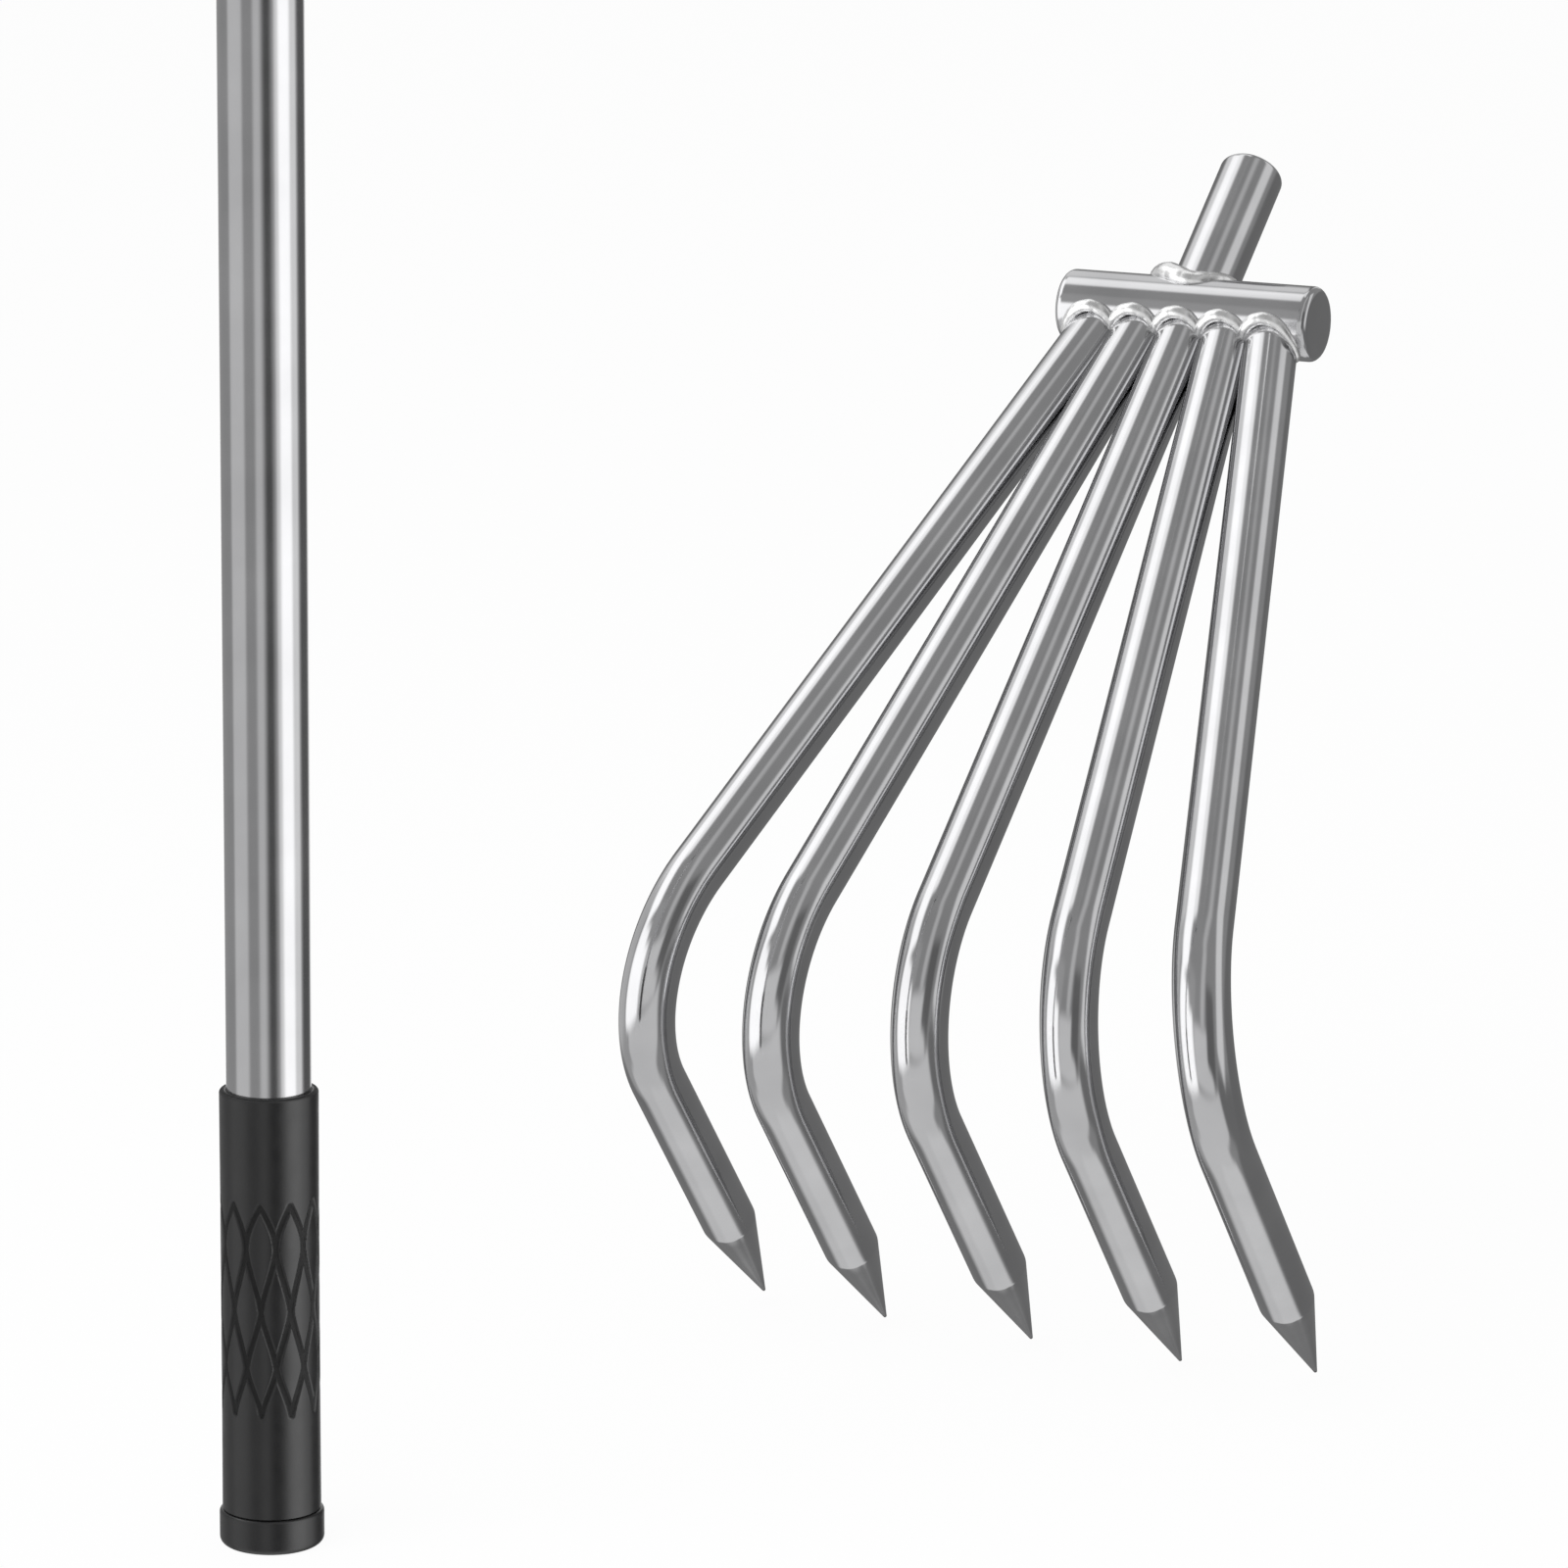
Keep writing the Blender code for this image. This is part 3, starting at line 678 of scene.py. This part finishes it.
def make_grip(tube_radius):
    """Sleeve with diamonds cut in. Its points carry how deep in a groove they lie."""
    low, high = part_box("grip_sleeve")
    end = high.x
    waist = end - GRIP_WAIST
    quarter = (high.z - low.z) / 4
    inside = tube_radius + SNUG
    pitch = 2 * math.pi * waist / DIAMONDS_ROUND
    corners = [
        (end, high.z, GRIP_LIP_ROUND),
        (waist, high.z - quarter, 0.0),
        (waist, low.z + quarter, 0.0),
        (end, low.z, GRIP_FOOT_ROUND),
        (inside, low.z, TUBE_EDGE),
        (inside, high.z, TUBE_EDGE),
    ]
    outline = []
    points = rounded(corners)
    for index, point in enumerate(points):
        outline.append(point)
        step = points[(index + 1) % len(points)] - point
        if point.x > waist - TINY and step.length > 2 * GRIP_ROW:
            count = math.ceil(step.length / GRIP_ROW)
            outline += [point + step * part / count for part in range(1, count)]

    def trim(angle, height):
        if not DIAMOND_BOTTOM - GROOVE_MOUTH < height < DIAMOND_TOP + GROOVE_MOUTH:
            return end
        return waist_radius(height) - GROOVE_DEPTH * groove_share(angle, height, pitch)

    def waist_radius(height):
        edge = min(height - low.z, high.z - height)
        return waist + GRIP_WAIST * max(0.0, 1 - edge / quarter)

    mesh = turned("grip_cover", outline, GRIP_STEPS, trim=trim)
    # How deep in a groove a point lies; the material darkens the colour there as painted shade, and
    # dulls the gloss
    groove = mesh.attributes.new("groove", "FLOAT", "POINT")
    for vert, value in zip(mesh.vertices, groove.data):
        radius = math.hypot(vert.co.x, vert.co.y)
        depth = (waist_radius(vert.co.z) - radius) / GROOVE_DEPTH
        on_bore = radius <= inside + GROOVE_DEPTH / 2
        value.value = 0.0 if on_bore else max(0.0, min(1.0, depth))
    add_piece(mesh, GRIP_RUBBER, "pole_base", ["grip_sleeve"])


base_radius = make_tube("base", "pole_base")
mid_radius = make_tube("mid", "mid_section")
tip_radius = make_tube("tip", "tip_section")
make_cap(base_radius)
make_grip(base_radius)


# Twist locks


def fluted(radius, count):
    """The radius left by grip flutes round a nut or a knob, at each angle."""
    reach = radius + FLUTE_RADIUS - FLUTE_DEPTH

    def trim(angle, height):
        turn = angle * count / (2 * math.pi) - 0.5
        away = (turn - round(turn)) * 2 * math.pi / count
        across = reach * math.sin(away)
        if abs(across) >= FLUTE_RADIUS:
            return radius
        return min(radius, reach * math.cos(away) - math.sqrt(FLUTE_RADIUS**2 - across**2))

    return trim


def make_lock(stage, tube_radius, slider_radius, body, nut_body):
    """Turned ferrule with the collet's conical seat, and the fluted nut over it."""
    low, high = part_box(stage + "_ferrule")
    nut_low, nut_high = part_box(stage + "_lock_nut")
    outside = tube_radius + SNUG
    sleeve = tube_radius + GAP + FERRULE_WALL
    nut_radius = nut_high.y
    bore = nut_radius - NUT_WALL
    neck = bore - GAP
    inside = slider_radius + GAP
    tube_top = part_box(stage + "_tube")[1].z
    shoulder = tube_top + GAP
    lip_top = tube_top + FERRULE_LIP
    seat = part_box(stage + "_collet")[1].y + GAP
    corners = [
        (neck, high.z, TUBE_EDGE),
        (neck, lip_top, 0.0),
        (sleeve, lip_top, MACHINED_EDGE),
    ]
    for groove in reversed(FERRULE_GROOVES):
        middle = low.z + groove
        floor = sleeve - FERRULE_GROOVE_DEPTH
        corners += [
            (sleeve, middle + FERRULE_GROOVE_HALF, TUBE_EDGE),
            (floor, middle + FERRULE_GROOVE_HALF / 2, TUBE_EDGE),
            (floor, middle - FERRULE_GROOVE_HALF / 2, TUBE_EDGE),
            (sleeve, middle - FERRULE_GROOVE_HALF, TUBE_EDGE),
        ]
    corners += [
        (sleeve, low.z, MACHINED_EDGE),
        (outside, low.z, TUBE_EDGE),
        (outside, shoulder, 0.0),
        (inside, shoulder, 0.0),
        (inside, lip_top, 0.0),
        (seat - COLLET_TAPER, lip_top, 0.0),
        (seat, high.z, TUBE_EDGE),
    ]
    mesh = turned(stage + "_ferrule_turned", rounded(corners))
    add_piece(mesh, LOCK_ALLOY, body, [stage + "_ferrule"])

    crown = nut_high.z - NUT_CROWN
    corners = [
        (nut_radius, nut_high.z, NUT_EDGE),
        (nut_radius, nut_low.z, NUT_EDGE),
        (bore, nut_low.z, TUBE_EDGE),
        (bore, crown, TUBE_EDGE),
        (inside, crown, TUBE_EDGE),
        (inside, nut_high.z, MACHINED_EDGE),
    ]
    flutes = fluted(nut_radius, NUT_FLUTES)
    mesh = turned(stage + "_nut_fluted", rounded(corners), NUT_STEPS, trim=flutes)
    add_piece(mesh, LOCK_PLASTIC, nut_body, [stage + "_lock_nut"])


make_lock("base", base_radius, mid_radius, "pole_base", "base_nut")
make_lock("mid", mid_radius, tip_radius, "mid_section", "mid_nut")


def dress_guides():
    """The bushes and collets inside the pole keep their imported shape."""
    for node in ("mid_stop_bush", "tip_stop_bush", "base_collet", "mid_collet"):
        guide = frame["nodes"][node]
        guide.data.materials.clear()
        guide.data.materials.append(GUIDE_NYLON)


dress_guides()


# Socket and thumb screw


def make_socket(clamp):
    """Socket with a skirt round the tip tube, drilled for the thumb screw. Gives its two radii."""
    low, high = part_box("socket_sleeve")
    radius = high.x
    bore = radius - SOCKET_WALL
    skirt_bore = tip_radius + SNUG
    skirt = tip_radius + GAP + SOCKET_WALL
    web_bottom = low.z + SOCKET_SKIRT
    web_top = web_bottom + SOCKET_WEB
    corners = [
        (0.0, web_top, 0.0),
        (bore, web_top, MACHINED_EDGE),
        (bore, high.z, MACHINED_EDGE),
        (radius, high.z, MACHINED_EDGE),
        (radius, web_bottom + GAP, SOCKET_CONE_ROUND),
        (skirt, web_bottom + GAP - SOCKET_CONE, SOCKET_CONE_ROUND),
        (skirt, low.z, MACHINED_EDGE),
        (skirt_bore, low.z, TUBE_EDGE),
        (skirt_bore, web_bottom, 0.0),
        (0.0, web_bottom, 0.0),
    ]
    mesh = turned("socket_body", rounded(corners, closed=False), closed=False)
    mesh = drilled(mesh, clamp, STUD_RADIUS + 2 * GAP, bore / 2, radius + GAP)
    add_piece(mesh, LOCK_ALLOY, "tip_section", ["socket_sleeve"])
    return radius, bore


def clamp_frame():
    """Z along the thumb screw, out of the pole towards -Y."""
    low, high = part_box("clamp_stud")
    height = (low.z + high.z) / 2
    return Matrix.Translation((0, 0, height)) @ Matrix.Rotation(math.pi / 2, 4, "X")


def make_boss(place, socket_radius, socket_bore):
    """Boss on the socket that carries the thumb screw."""
    end = socket_radius + BOSS_REACH
    hole = STUD_RADIUS + GAP
    corners = [
        (hole, end, TUBE_EDGE),
        (BOSS_RADIUS, end, MACHINED_EDGE),
        (BOSS_RADIUS, socket_radius - BOSS_FLARE / 2, 2 * BOSS_FLARE),
        (BOSS_RADIUS + 2 * BOSS_FLARE, socket_radius - 2 * BOSS_FLARE, 0.0),
        (BOSS_RADIUS, socket_bore + GAP, 0.0),
        (hole, socket_bore + GAP, 0.0),
    ]
    mesh = turned("socket_boss", rounded(corners))
    add_piece(mesh, LOCK_ALLOY, "tip_section", place=place)


def make_thumb_screw(place):
    """Threaded stud and the fluted, dished knob on it."""
    low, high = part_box("clamp_stud")
    start, end = -high.y, -low.y
    rows = math.ceil((end - start - 2 * STUD_EDGE) / STUD_ROW)
    outline = [Vector((0.0, end)), Vector((STUD_RADIUS, end))]
    for row in range(1, rows):
        outline.append(Vector((STUD_RADIUS, end + (start + STUD_EDGE - end) * row / rows)))
    outline += [Vector((STUD_RADIUS - STUD_EDGE, start)), Vector((0.0, start))]

    def thread(angle, height):
        turn = height / STUD_PITCH - angle / (2 * math.pi)
        return STUD_RADIUS - STUD_THREAD * abs(2 * (turn - math.floor(turn)) - 1)

    mesh = turned("clamp_stud_threaded", outline, closed=False, trim=thread)
    add_piece(mesh, SCREW_STEEL, "clamp_screw", ["clamp_stud"], place)

    low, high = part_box("clamp_knob")
    start, end = -high.y, -low.y
    radius = high.x
    hole = STUD_RADIUS + SNUG
    dish = KNOB_DISH_RADIUS
    corners = [
        (0.0, end - KNOB_DISH_DEPTH, 0.0),
        (dish, end - KNOB_DISH_DEPTH, MACHINED_EDGE),
        (dish + KNOB_DISH_DEPTH, end, MACHINED_EDGE),
        (radius, end, KNOB_EDGE),
        (radius, start, KNOB_EDGE),
        (hole, start, TUBE_EDGE),
        (hole, end - 2 * KNOB_DISH_DEPTH, 0.0),
        (0.0, end - 2 * KNOB_DISH_DEPTH, 0.0),
    ]
    outline = rounded(corners, closed=False)
    flutes = fluted(radius, KNOB_FLUTES)
    mesh = turned("clamp_knob_fluted", outline, NUT_STEPS, closed=False, trim=flutes)
    add_piece(mesh, LOCK_PLASTIC, "clamp_handle", ["clamp_knob"], place)


def make_rivet():
    """Rivet with a domed head on both sides."""
    low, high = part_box("socket_pin")
    end = high.x
    head = end - PIN_HEAD_HEIGHT
    corners = [(0.0, end, 0.0)]
    corners += [(PIN_HEAD_RADIUS, end, PIN_HEAD_HEIGHT), (PIN_HEAD_RADIUS, head, TUBE_EDGE)]
    corners += [(PIN_RADIUS, head, 0.0), (PIN_RADIUS, -head, 0.0)]
    corners += [(PIN_HEAD_RADIUS, -head, TUBE_EDGE), (PIN_HEAD_RADIUS, -end, PIN_HEAD_HEIGHT)]
    corners += [(0.0, -end, 0.0)]
    mesh = turned("socket_rivet", rounded(corners, closed=False), ROD_SIDES, closed=False)
    place = Matrix.Translation((0, 0, (low.z + high.z) / 2)) @ Matrix.Rotation(math.pi / 2, 4, "Y")
    add_piece(mesh, SCREW_STEEL, "tip_section", ["socket_pin"], place)


clamp_place = clamp_frame()
socket_radius, socket_bore = make_socket(clamp_place)
make_boss(clamp_place, socket_radius, socket_bore)
make_thumb_screw(clamp_place)
make_rivet()


# Claw head


def head_frame():
    """The head's own frame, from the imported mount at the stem's end."""
    mount = next(m for m in frame["record"]["mounts"] if m["name"] == "stem_end")
    stem = Vector(mount["axis"]).normalized()
    bar = Vector((stem.y, -stem.x, 0.0)).normalized()
    up = bar.cross(stem)
    centre = Vector(mount["pos_m"]) - stem * (BAR_RADIUS + STEM_REACH)
    turn = Matrix((bar, stem, up)).transposed().to_4x4()
    return Matrix.Translation(centre) @ turn


HEAD = head_frame()
MIDDLE = len(TINE_FAN) // 2


def make_bar_and_stem():
    """Crossbar, and the stem that starts inside it."""
    corners = [(0.0, BAR_HALF, 0.0), (BAR_RADIUS, BAR_HALF, BAR_END_ROUND)]
    corners += [(BAR_RADIUS, -BAR_HALF, BAR_END_ROUND), (0.0, -BAR_HALF, 0.0)]
    mesh = turned("crossbar_rod", rounded(corners, closed=False), closed=False)
    place = HEAD @ Matrix.Rotation(math.pi / 2, 4, "Y")
    add_piece(mesh, CLAW_STEEL, "claw_head", ["crossbar"], place)

    end = BAR_RADIUS + STEM_REACH
    corners = [(0.0, end, 0.0), (STEM_RADIUS, end, STEM_END_ROUND)]
    corners += [(STEM_RADIUS, BAR_RADIUS / 2, 0.0), (0.0, BAR_RADIUS / 2, 0.0)]
    mesh = turned("stem_rod", rounded(corners, closed=False), closed=False)
    place = HEAD @ Matrix.Rotation(-math.pi / 2, 4, "X")
    add_piece(mesh, CLAW_STEEL, "claw_head", ["stem"], place)


def tine_direction(index):
    """A tine's way out of the crossbar."""
    angle = math.radians(TINE_FAN[index])
    return Vector((math.sin(angle), -math.cos(angle), 0.0))


def tine_root(index):
    """Where a tine's line starts, on the crossbar's axis."""
    return Vector(((index - MIDDLE) * TINE_SPACING, 0.0, 0.0))


def tine_stations(index):
    """Rings of a tine: straight shank, quarter bend, straight hook and turned point."""
    along = tine_direction(index)
    down = Vector((0.0, 0.0, -1.0))
    side = along.cross(down)
    root = tine_root(index)
    corner = root + along * (SHANK_LENGTH + SHANK_STEP * abs(index - MIDDLE))
    tip = corner + down * HOOK_LENGTH
    bend_start = corner - along * BEND_RADIUS
    bend_end = corner + down * BEND_RADIUS
    shoulder = tip - down * POINT_LENGTH
    rings = []
    shank_start = root + along * BAR_RADIUS / 2
    rings.append((shank_start, along, 0.0))
    for step in range(STRAIGHT_STEPS):
        rings.append((shank_start.lerp(bend_start, step / STRAIGHT_STEPS), along, TINE_RADIUS))
    for step in range(BEND_STEPS):
        turn = math.pi / 2 * step / BEND_STEPS
        place = bend_start + (along * math.sin(turn) + down * (1 - math.cos(turn))) * BEND_RADIUS
        rings.append((place, along * math.cos(turn) + down * math.sin(turn), TINE_RADIUS))
    hook_end = shoulder - down * SHOULDER
    for step in range(STRAIGHT_STEPS):
        rings.append((bend_end.lerp(hook_end, step / STRAIGHT_STEPS), down, TINE_RADIUS))
    slope = (TINE_RADIUS - POINT_RADIUS) / POINT_LENGTH
    rings.append((hook_end, down, TINE_RADIUS))
    rings.append((shoulder, down, TINE_RADIUS - slope * SHOULDER / 4))
    for step in range(1, POINT_STEPS):
        reach = SHOULDER + (POINT_LENGTH - POINT_RADIUS - SHOULDER) * (step - 1) / (POINT_STEPS - 2)
        rings.append((shoulder + down * reach, down, TINE_RADIUS - slope * reach))
    blunt = tip - down * POINT_RADIUS
    for step in range(1, ROUND_STEPS):
        turn = math.pi / 2 * step / ROUND_STEPS
        rings.append((blunt + down * POINT_RADIUS * math.sin(turn), down, POINT_RADIUS * math.cos(turn)))
    rings.append((tip, down, 0.0))
    return [(place, side * radius, path.cross(side) * radius) for place, path, radius in rings]


def saddle(root, along, radius, first, second, angle):
    """Where a rod out of the crossbar's axis meets the crossbar's surface, and the two normals there."""
    outward = first * math.cos(angle) + second * math.sin(angle)
    offset = outward * radius
    reach = math.sqrt(BAR_RADIUS**2 - offset.z**2)
    step = (math.copysign(reach, along.y) - offset.y) / along.y
    place = root + offset + along * step
    return place, outward, Vector((0.0, place.y, place.z)).normalized()


def make_bead(name, root, along, radius, size, heap, lean, seed):
    """Weld bead in the corner between a rod and the crossbar, heaped to one side and rippled."""
    second = Vector((0.0, 0.0, 1.0))
    first = second.cross(along).normalized()
    if first.x < 0:
        first = -first
    stations = []
    step_angle = 2 * math.pi / BEAD_STEPS
    for step in range(BEAD_STEPS):
        angle = step * step_angle
        place, outward, away = saddle(root, along, radius, first, second, angle)
        ahead = saddle(root, along, radius, first, second, angle + step_angle)[0]
        path = (ahead - place).normalized()
        spot = Vector((WANDER_PACE * math.cos(angle), WANDER_PACE * math.sin(angle), seed))
        wander = noise.noise(spot)
        ripple = abs(math.sin(angle * BEAD_RIPPLES / 2 + wander)) - 0.5
        extra = heap * ((1 + math.cos(angle - lean)) / 2) ** BEAD_PEAK
        thick = (size + BEAD_SWELL * extra) * (1 + BEAD_RIPPLE * ripple + BEAD_WANDER * wander)
        up = (outward + away).normalized()
        up = (up - path * up.dot(path)).normalized()
        centre = place + outward * extra
        stations.append((centre, up * thick * BEAD_FLAT, path.cross(up) * thick))
    mesh = swept(name, stations, BEAD_SIDES, loop=True)
    add_piece(mesh, WELD_STEEL_PAINTED_BRIGHT, "claw_head", place=HEAD)


def make_tines():
    """The tines, each with its weld."""
    tine_weld = (TINE_RADIUS, BEAD_RADIUS, BEAD_HEAP, BEAD_LEAN)
    for index in range(len(TINE_FAN)):
        number = index + 1
        mesh = swept(f"tine_rod_{number}", tine_stations(index), ROD_SIDES)
        add_piece(mesh, CLAW_STEEL, "claw_head", [f"tine_{number}"], HEAD)
        make_bead(f"tine_weld_{number}", tine_root(index), tine_direction(index), *tine_weld, number)


make_bar_and_stem()
make_tines()
stem_weld = (STEM_RADIUS, STEM_BEAD_RADIUS, STEM_BEAD_HEAP, STEM_BEAD_LEAN)
make_bead("stem_weld", Vector(), Vector((0.0, 1.0, 0.0)), *stem_weld, 0)


# Studio


def card_cover(tree, direction, azimuth, elevation, half_width, half_height, twist):
    """1 where a direction meets a soft-edged card, 0 beside it."""
    tilt = Matrix.Rotation(-math.radians(elevation), 3, "X")
    turn = Matrix.Rotation(math.radians(azimuth), 3, "Z") @ tilt
    facing = turn @ Vector((0, -1, 0))
    roll = Matrix.Rotation(math.radians(twist), 3, facing)
    ahead = add_node(tree, "ShaderNodeVectorMath", {0: direction, 1: facing}, operation="DOT_PRODUCT")
    edges = []
    for axis, half in ((Vector((1, 0, 0)), half_width), (Vector((0, 0, 1)), half_height)):
        inputs = {0: direction, 1: roll @ turn @ axis}
        across = add_node(tree, "ShaderNodeVectorMath", inputs, operation="DOT_PRODUCT")
        inputs = {0: across.outputs["Value"], 1: ahead.outputs["Value"]}
        angle = add_node(tree, "ShaderNodeMath", inputs, operation="ARCTAN2")
        size = add_node(tree, "ShaderNodeMath", {0: angle.outputs["Value"]}, operation="ABSOLUTE")
        inputs = {
            "Value": size.outputs["Value"],
            "From Min": math.radians(half + CARD_FEATHER),
            "From Max": math.radians(half - CARD_FEATHER),
        }
        edge = add_node(tree, "ShaderNodeMapRange", inputs, interpolation_type="SMOOTHSTEP")
        edges.append(edge.outputs["Result"])
    inputs = {0: edges[0], 1: edges[1]}
    return add_node(tree, "ShaderNodeMath", inputs, operation="MULTIPLY").outputs["Value"]


def lay_cards(tree, direction, level, cards):
    """Brightness in a direction: the level, with each card laid over it in turn."""
    for *card, brightness in cards.values():
        inputs = {"Factor": card_cover(tree, direction, *card), "A": level, "B": brightness}
        level = add_node(tree, "ShaderNodeMix", inputs).outputs["Result"]
    return level


def make_world():
    """White backdrop, with cards before it in gloss, and an even level on matt surfaces."""
    world = bpy.data.worlds.new("studio")
    bpy.context.scene.world = world
    world.use_nodes = True
    tree = world.node_tree
    direction = add_node(tree, "ShaderNodeTexCoord").outputs["Generated"]
    level = lay_cards(tree, direction, BACKDROP, CARDS)
    path = add_node(tree, "ShaderNodeLightPath").outputs
    flats = {"Is Diffuse Ray": AMBIENT, "Is Transmission Ray": BACKDROP, "Is Camera Ray": BACKDROP}
    for ray, flat in flats.items():
        mix = add_node(tree, "ShaderNodeMix", {"Factor": path[ray], "A": level, "B": flat})
        level = mix.outputs["Result"]
    tree.links.new(level, tree.nodes["Background"].inputs["Strength"])
    tree.nodes["Background"].inputs["Color"].default_value = (1.0, 1.0, 1.0, 1.0)


def make_tent():
    """Screen round the pole that only gloss from within it sees."""
    outline = [Vector((TENT_RADIUS, TENT_LOW)), Vector((TENT_RADIUS, TENT_HIGH))]
    mesh = turned("pole_tent", outline, closed=False)
    tent = bpy.data.objects.new("pole_tent", mesh)
    bpy.context.scene.collection.objects.link(tent)
    tent.visible_camera = False
    tent.visible_diffuse = False
    tent.visible_transmission = False
    tent.visible_shadow = False
    material = bpy.data.materials.new("tent_paper")
    material.use_nodes = True
    material.cycles.emission_sampling = "NONE"
    tree = material.node_tree
    tree.nodes.remove(tree.nodes["Principled BSDF"])
    place = add_node(tree, "ShaderNodeNewGeometry").outputs["Position"]
    inputs = {0: place, 1: (1.0, 1.0, 0.0)}
    level_place = add_node(tree, "ShaderNodeVectorMath", inputs, operation="MULTIPLY")
    strips = lay_cards(tree, level_place.outputs["Vector"], TENT_LEVEL, TENT_STRIPS)
    light = add_node(tree, "ShaderNodeEmission", {"Strength": strips}).outputs["Emission"]
    clear = add_node(tree, "ShaderNodeBsdfTransparent").outputs["BSDF"]
    length = add_node(tree, "ShaderNodeLightPath").outputs["Ray Length"]
    inputs = {0: length, 1: TENT_SIGHT}
    near = add_node(tree, "ShaderNodeMath", inputs, operation="LESS_THAN").outputs["Value"]
    seen = add_node(tree, "ShaderNodeMixShader", {0: near, 1: clear, 2: light}).outputs["Shader"]
    tree.links.new(seen, tree.nodes["Material Output"].inputs["Surface"])
    mesh.materials.append(material)


def make_floor():
    """White floor that keeps a faint shadow and that gloss looks through, at the cards below it."""
    mesh = bpy.data.meshes.new("floor")
    shape = bmesh.new()
    bmesh.ops.create_grid(shape, x_segments=1, y_segments=1, size=FLOOR_HALF)
    shape.to_mesh(mesh)
    shape.free()
    floor = bpy.data.objects.new("floor", mesh)
    bpy.context.scene.collection.objects.link(floor)
    material = bpy.data.materials.new("floor_paper")
    material.use_nodes = True
    tree = material.node_tree
    tree.nodes.remove(tree.nodes["Principled BSDF"])
    path = add_node(tree, "ShaderNodeLightPath").outputs
    paper = add_node(tree, "ShaderNodeBsdfDiffuse", {"Color": FLOOR_PAPER}).outputs["BSDF"]
    white = add_node(tree, "ShaderNodeEmission", {"Strength": BACKDROP}).outputs["Emission"]
    clear = add_node(tree, "ShaderNodeBsdfTransparent").outputs["BSDF"]
    rays = {0: path["Is Camera Ray"], 1: path["Is Transmission Ray"]}
    sight = add_node(tree, "ShaderNodeMath", rays, operation="MAXIMUM").outputs["Value"]
    inputs = {0: sight, 1: FLOOR_WHITE}
    share = add_node(tree, "ShaderNodeMath", inputs, operation="MULTIPLY").outputs["Value"]
    seen = add_node(tree, "ShaderNodeMixShader", {0: share, 1: paper, 2: white}).outputs["Shader"]
    gloss = add_node(tree, "ShaderNodeMixShader", {0: path["Is Glossy Ray"], 1: seen, 2: clear})
    tree.links.new(gloss.outputs["Shader"], tree.nodes["Material Output"].inputs["Surface"])
    mesh.materials.append(material)


def make_key_light():
    """One soft lamp from the upper left, which gloss doesn't show."""
    lamp = bpy.data.lights.new("key_light", "AREA")
    lamp.energy = KEY_POWER
    lamp.size = KEY_SIZE
    key = bpy.data.objects.new("key_light", lamp)
    bpy.context.scene.collection.objects.link(key)
    key.location = KEY_PLACE
    key.rotation_mode = "QUATERNION"
    key.rotation_quaternion = (CAMERA_TARGET - KEY_PLACE).to_track_quat("-Z", "Y")
    key.visible_glossy = False


def make_camera():
    """The photograph's camera."""
    camera = bpy.data.objects.new("camera", bpy.data.cameras.new("camera"))
    bpy.context.scene.collection.objects.link(camera)
    bpy.context.scene.camera = camera
    camera.data.sensor_width = SENSOR
    camera.data.lens = FOCAL_PIXELS / FRAME_PIXELS * SENSOR
    camera.data.clip_start = CAMERA_NEAR
    camera.data.clip_end = CAMERA_FAR
    view = Vector((0.0, math.cos(CAMERA_ELEVATION), -math.sin(CAMERA_ELEVATION)))
    turn = Matrix.Rotation(CAMERA_ROLL, 4, -view) @ view.to_track_quat("-Z", "Y").to_matrix().to_4x4()
    camera.matrix_world = Matrix.Translation(CAMERA_TARGET - view * CAMERA_DISTANCE) @ turn


make_world()
make_tent()
make_floor()
make_key_light()
make_camera()
bpy.context.scene.view_settings.view_transform = "Standard"
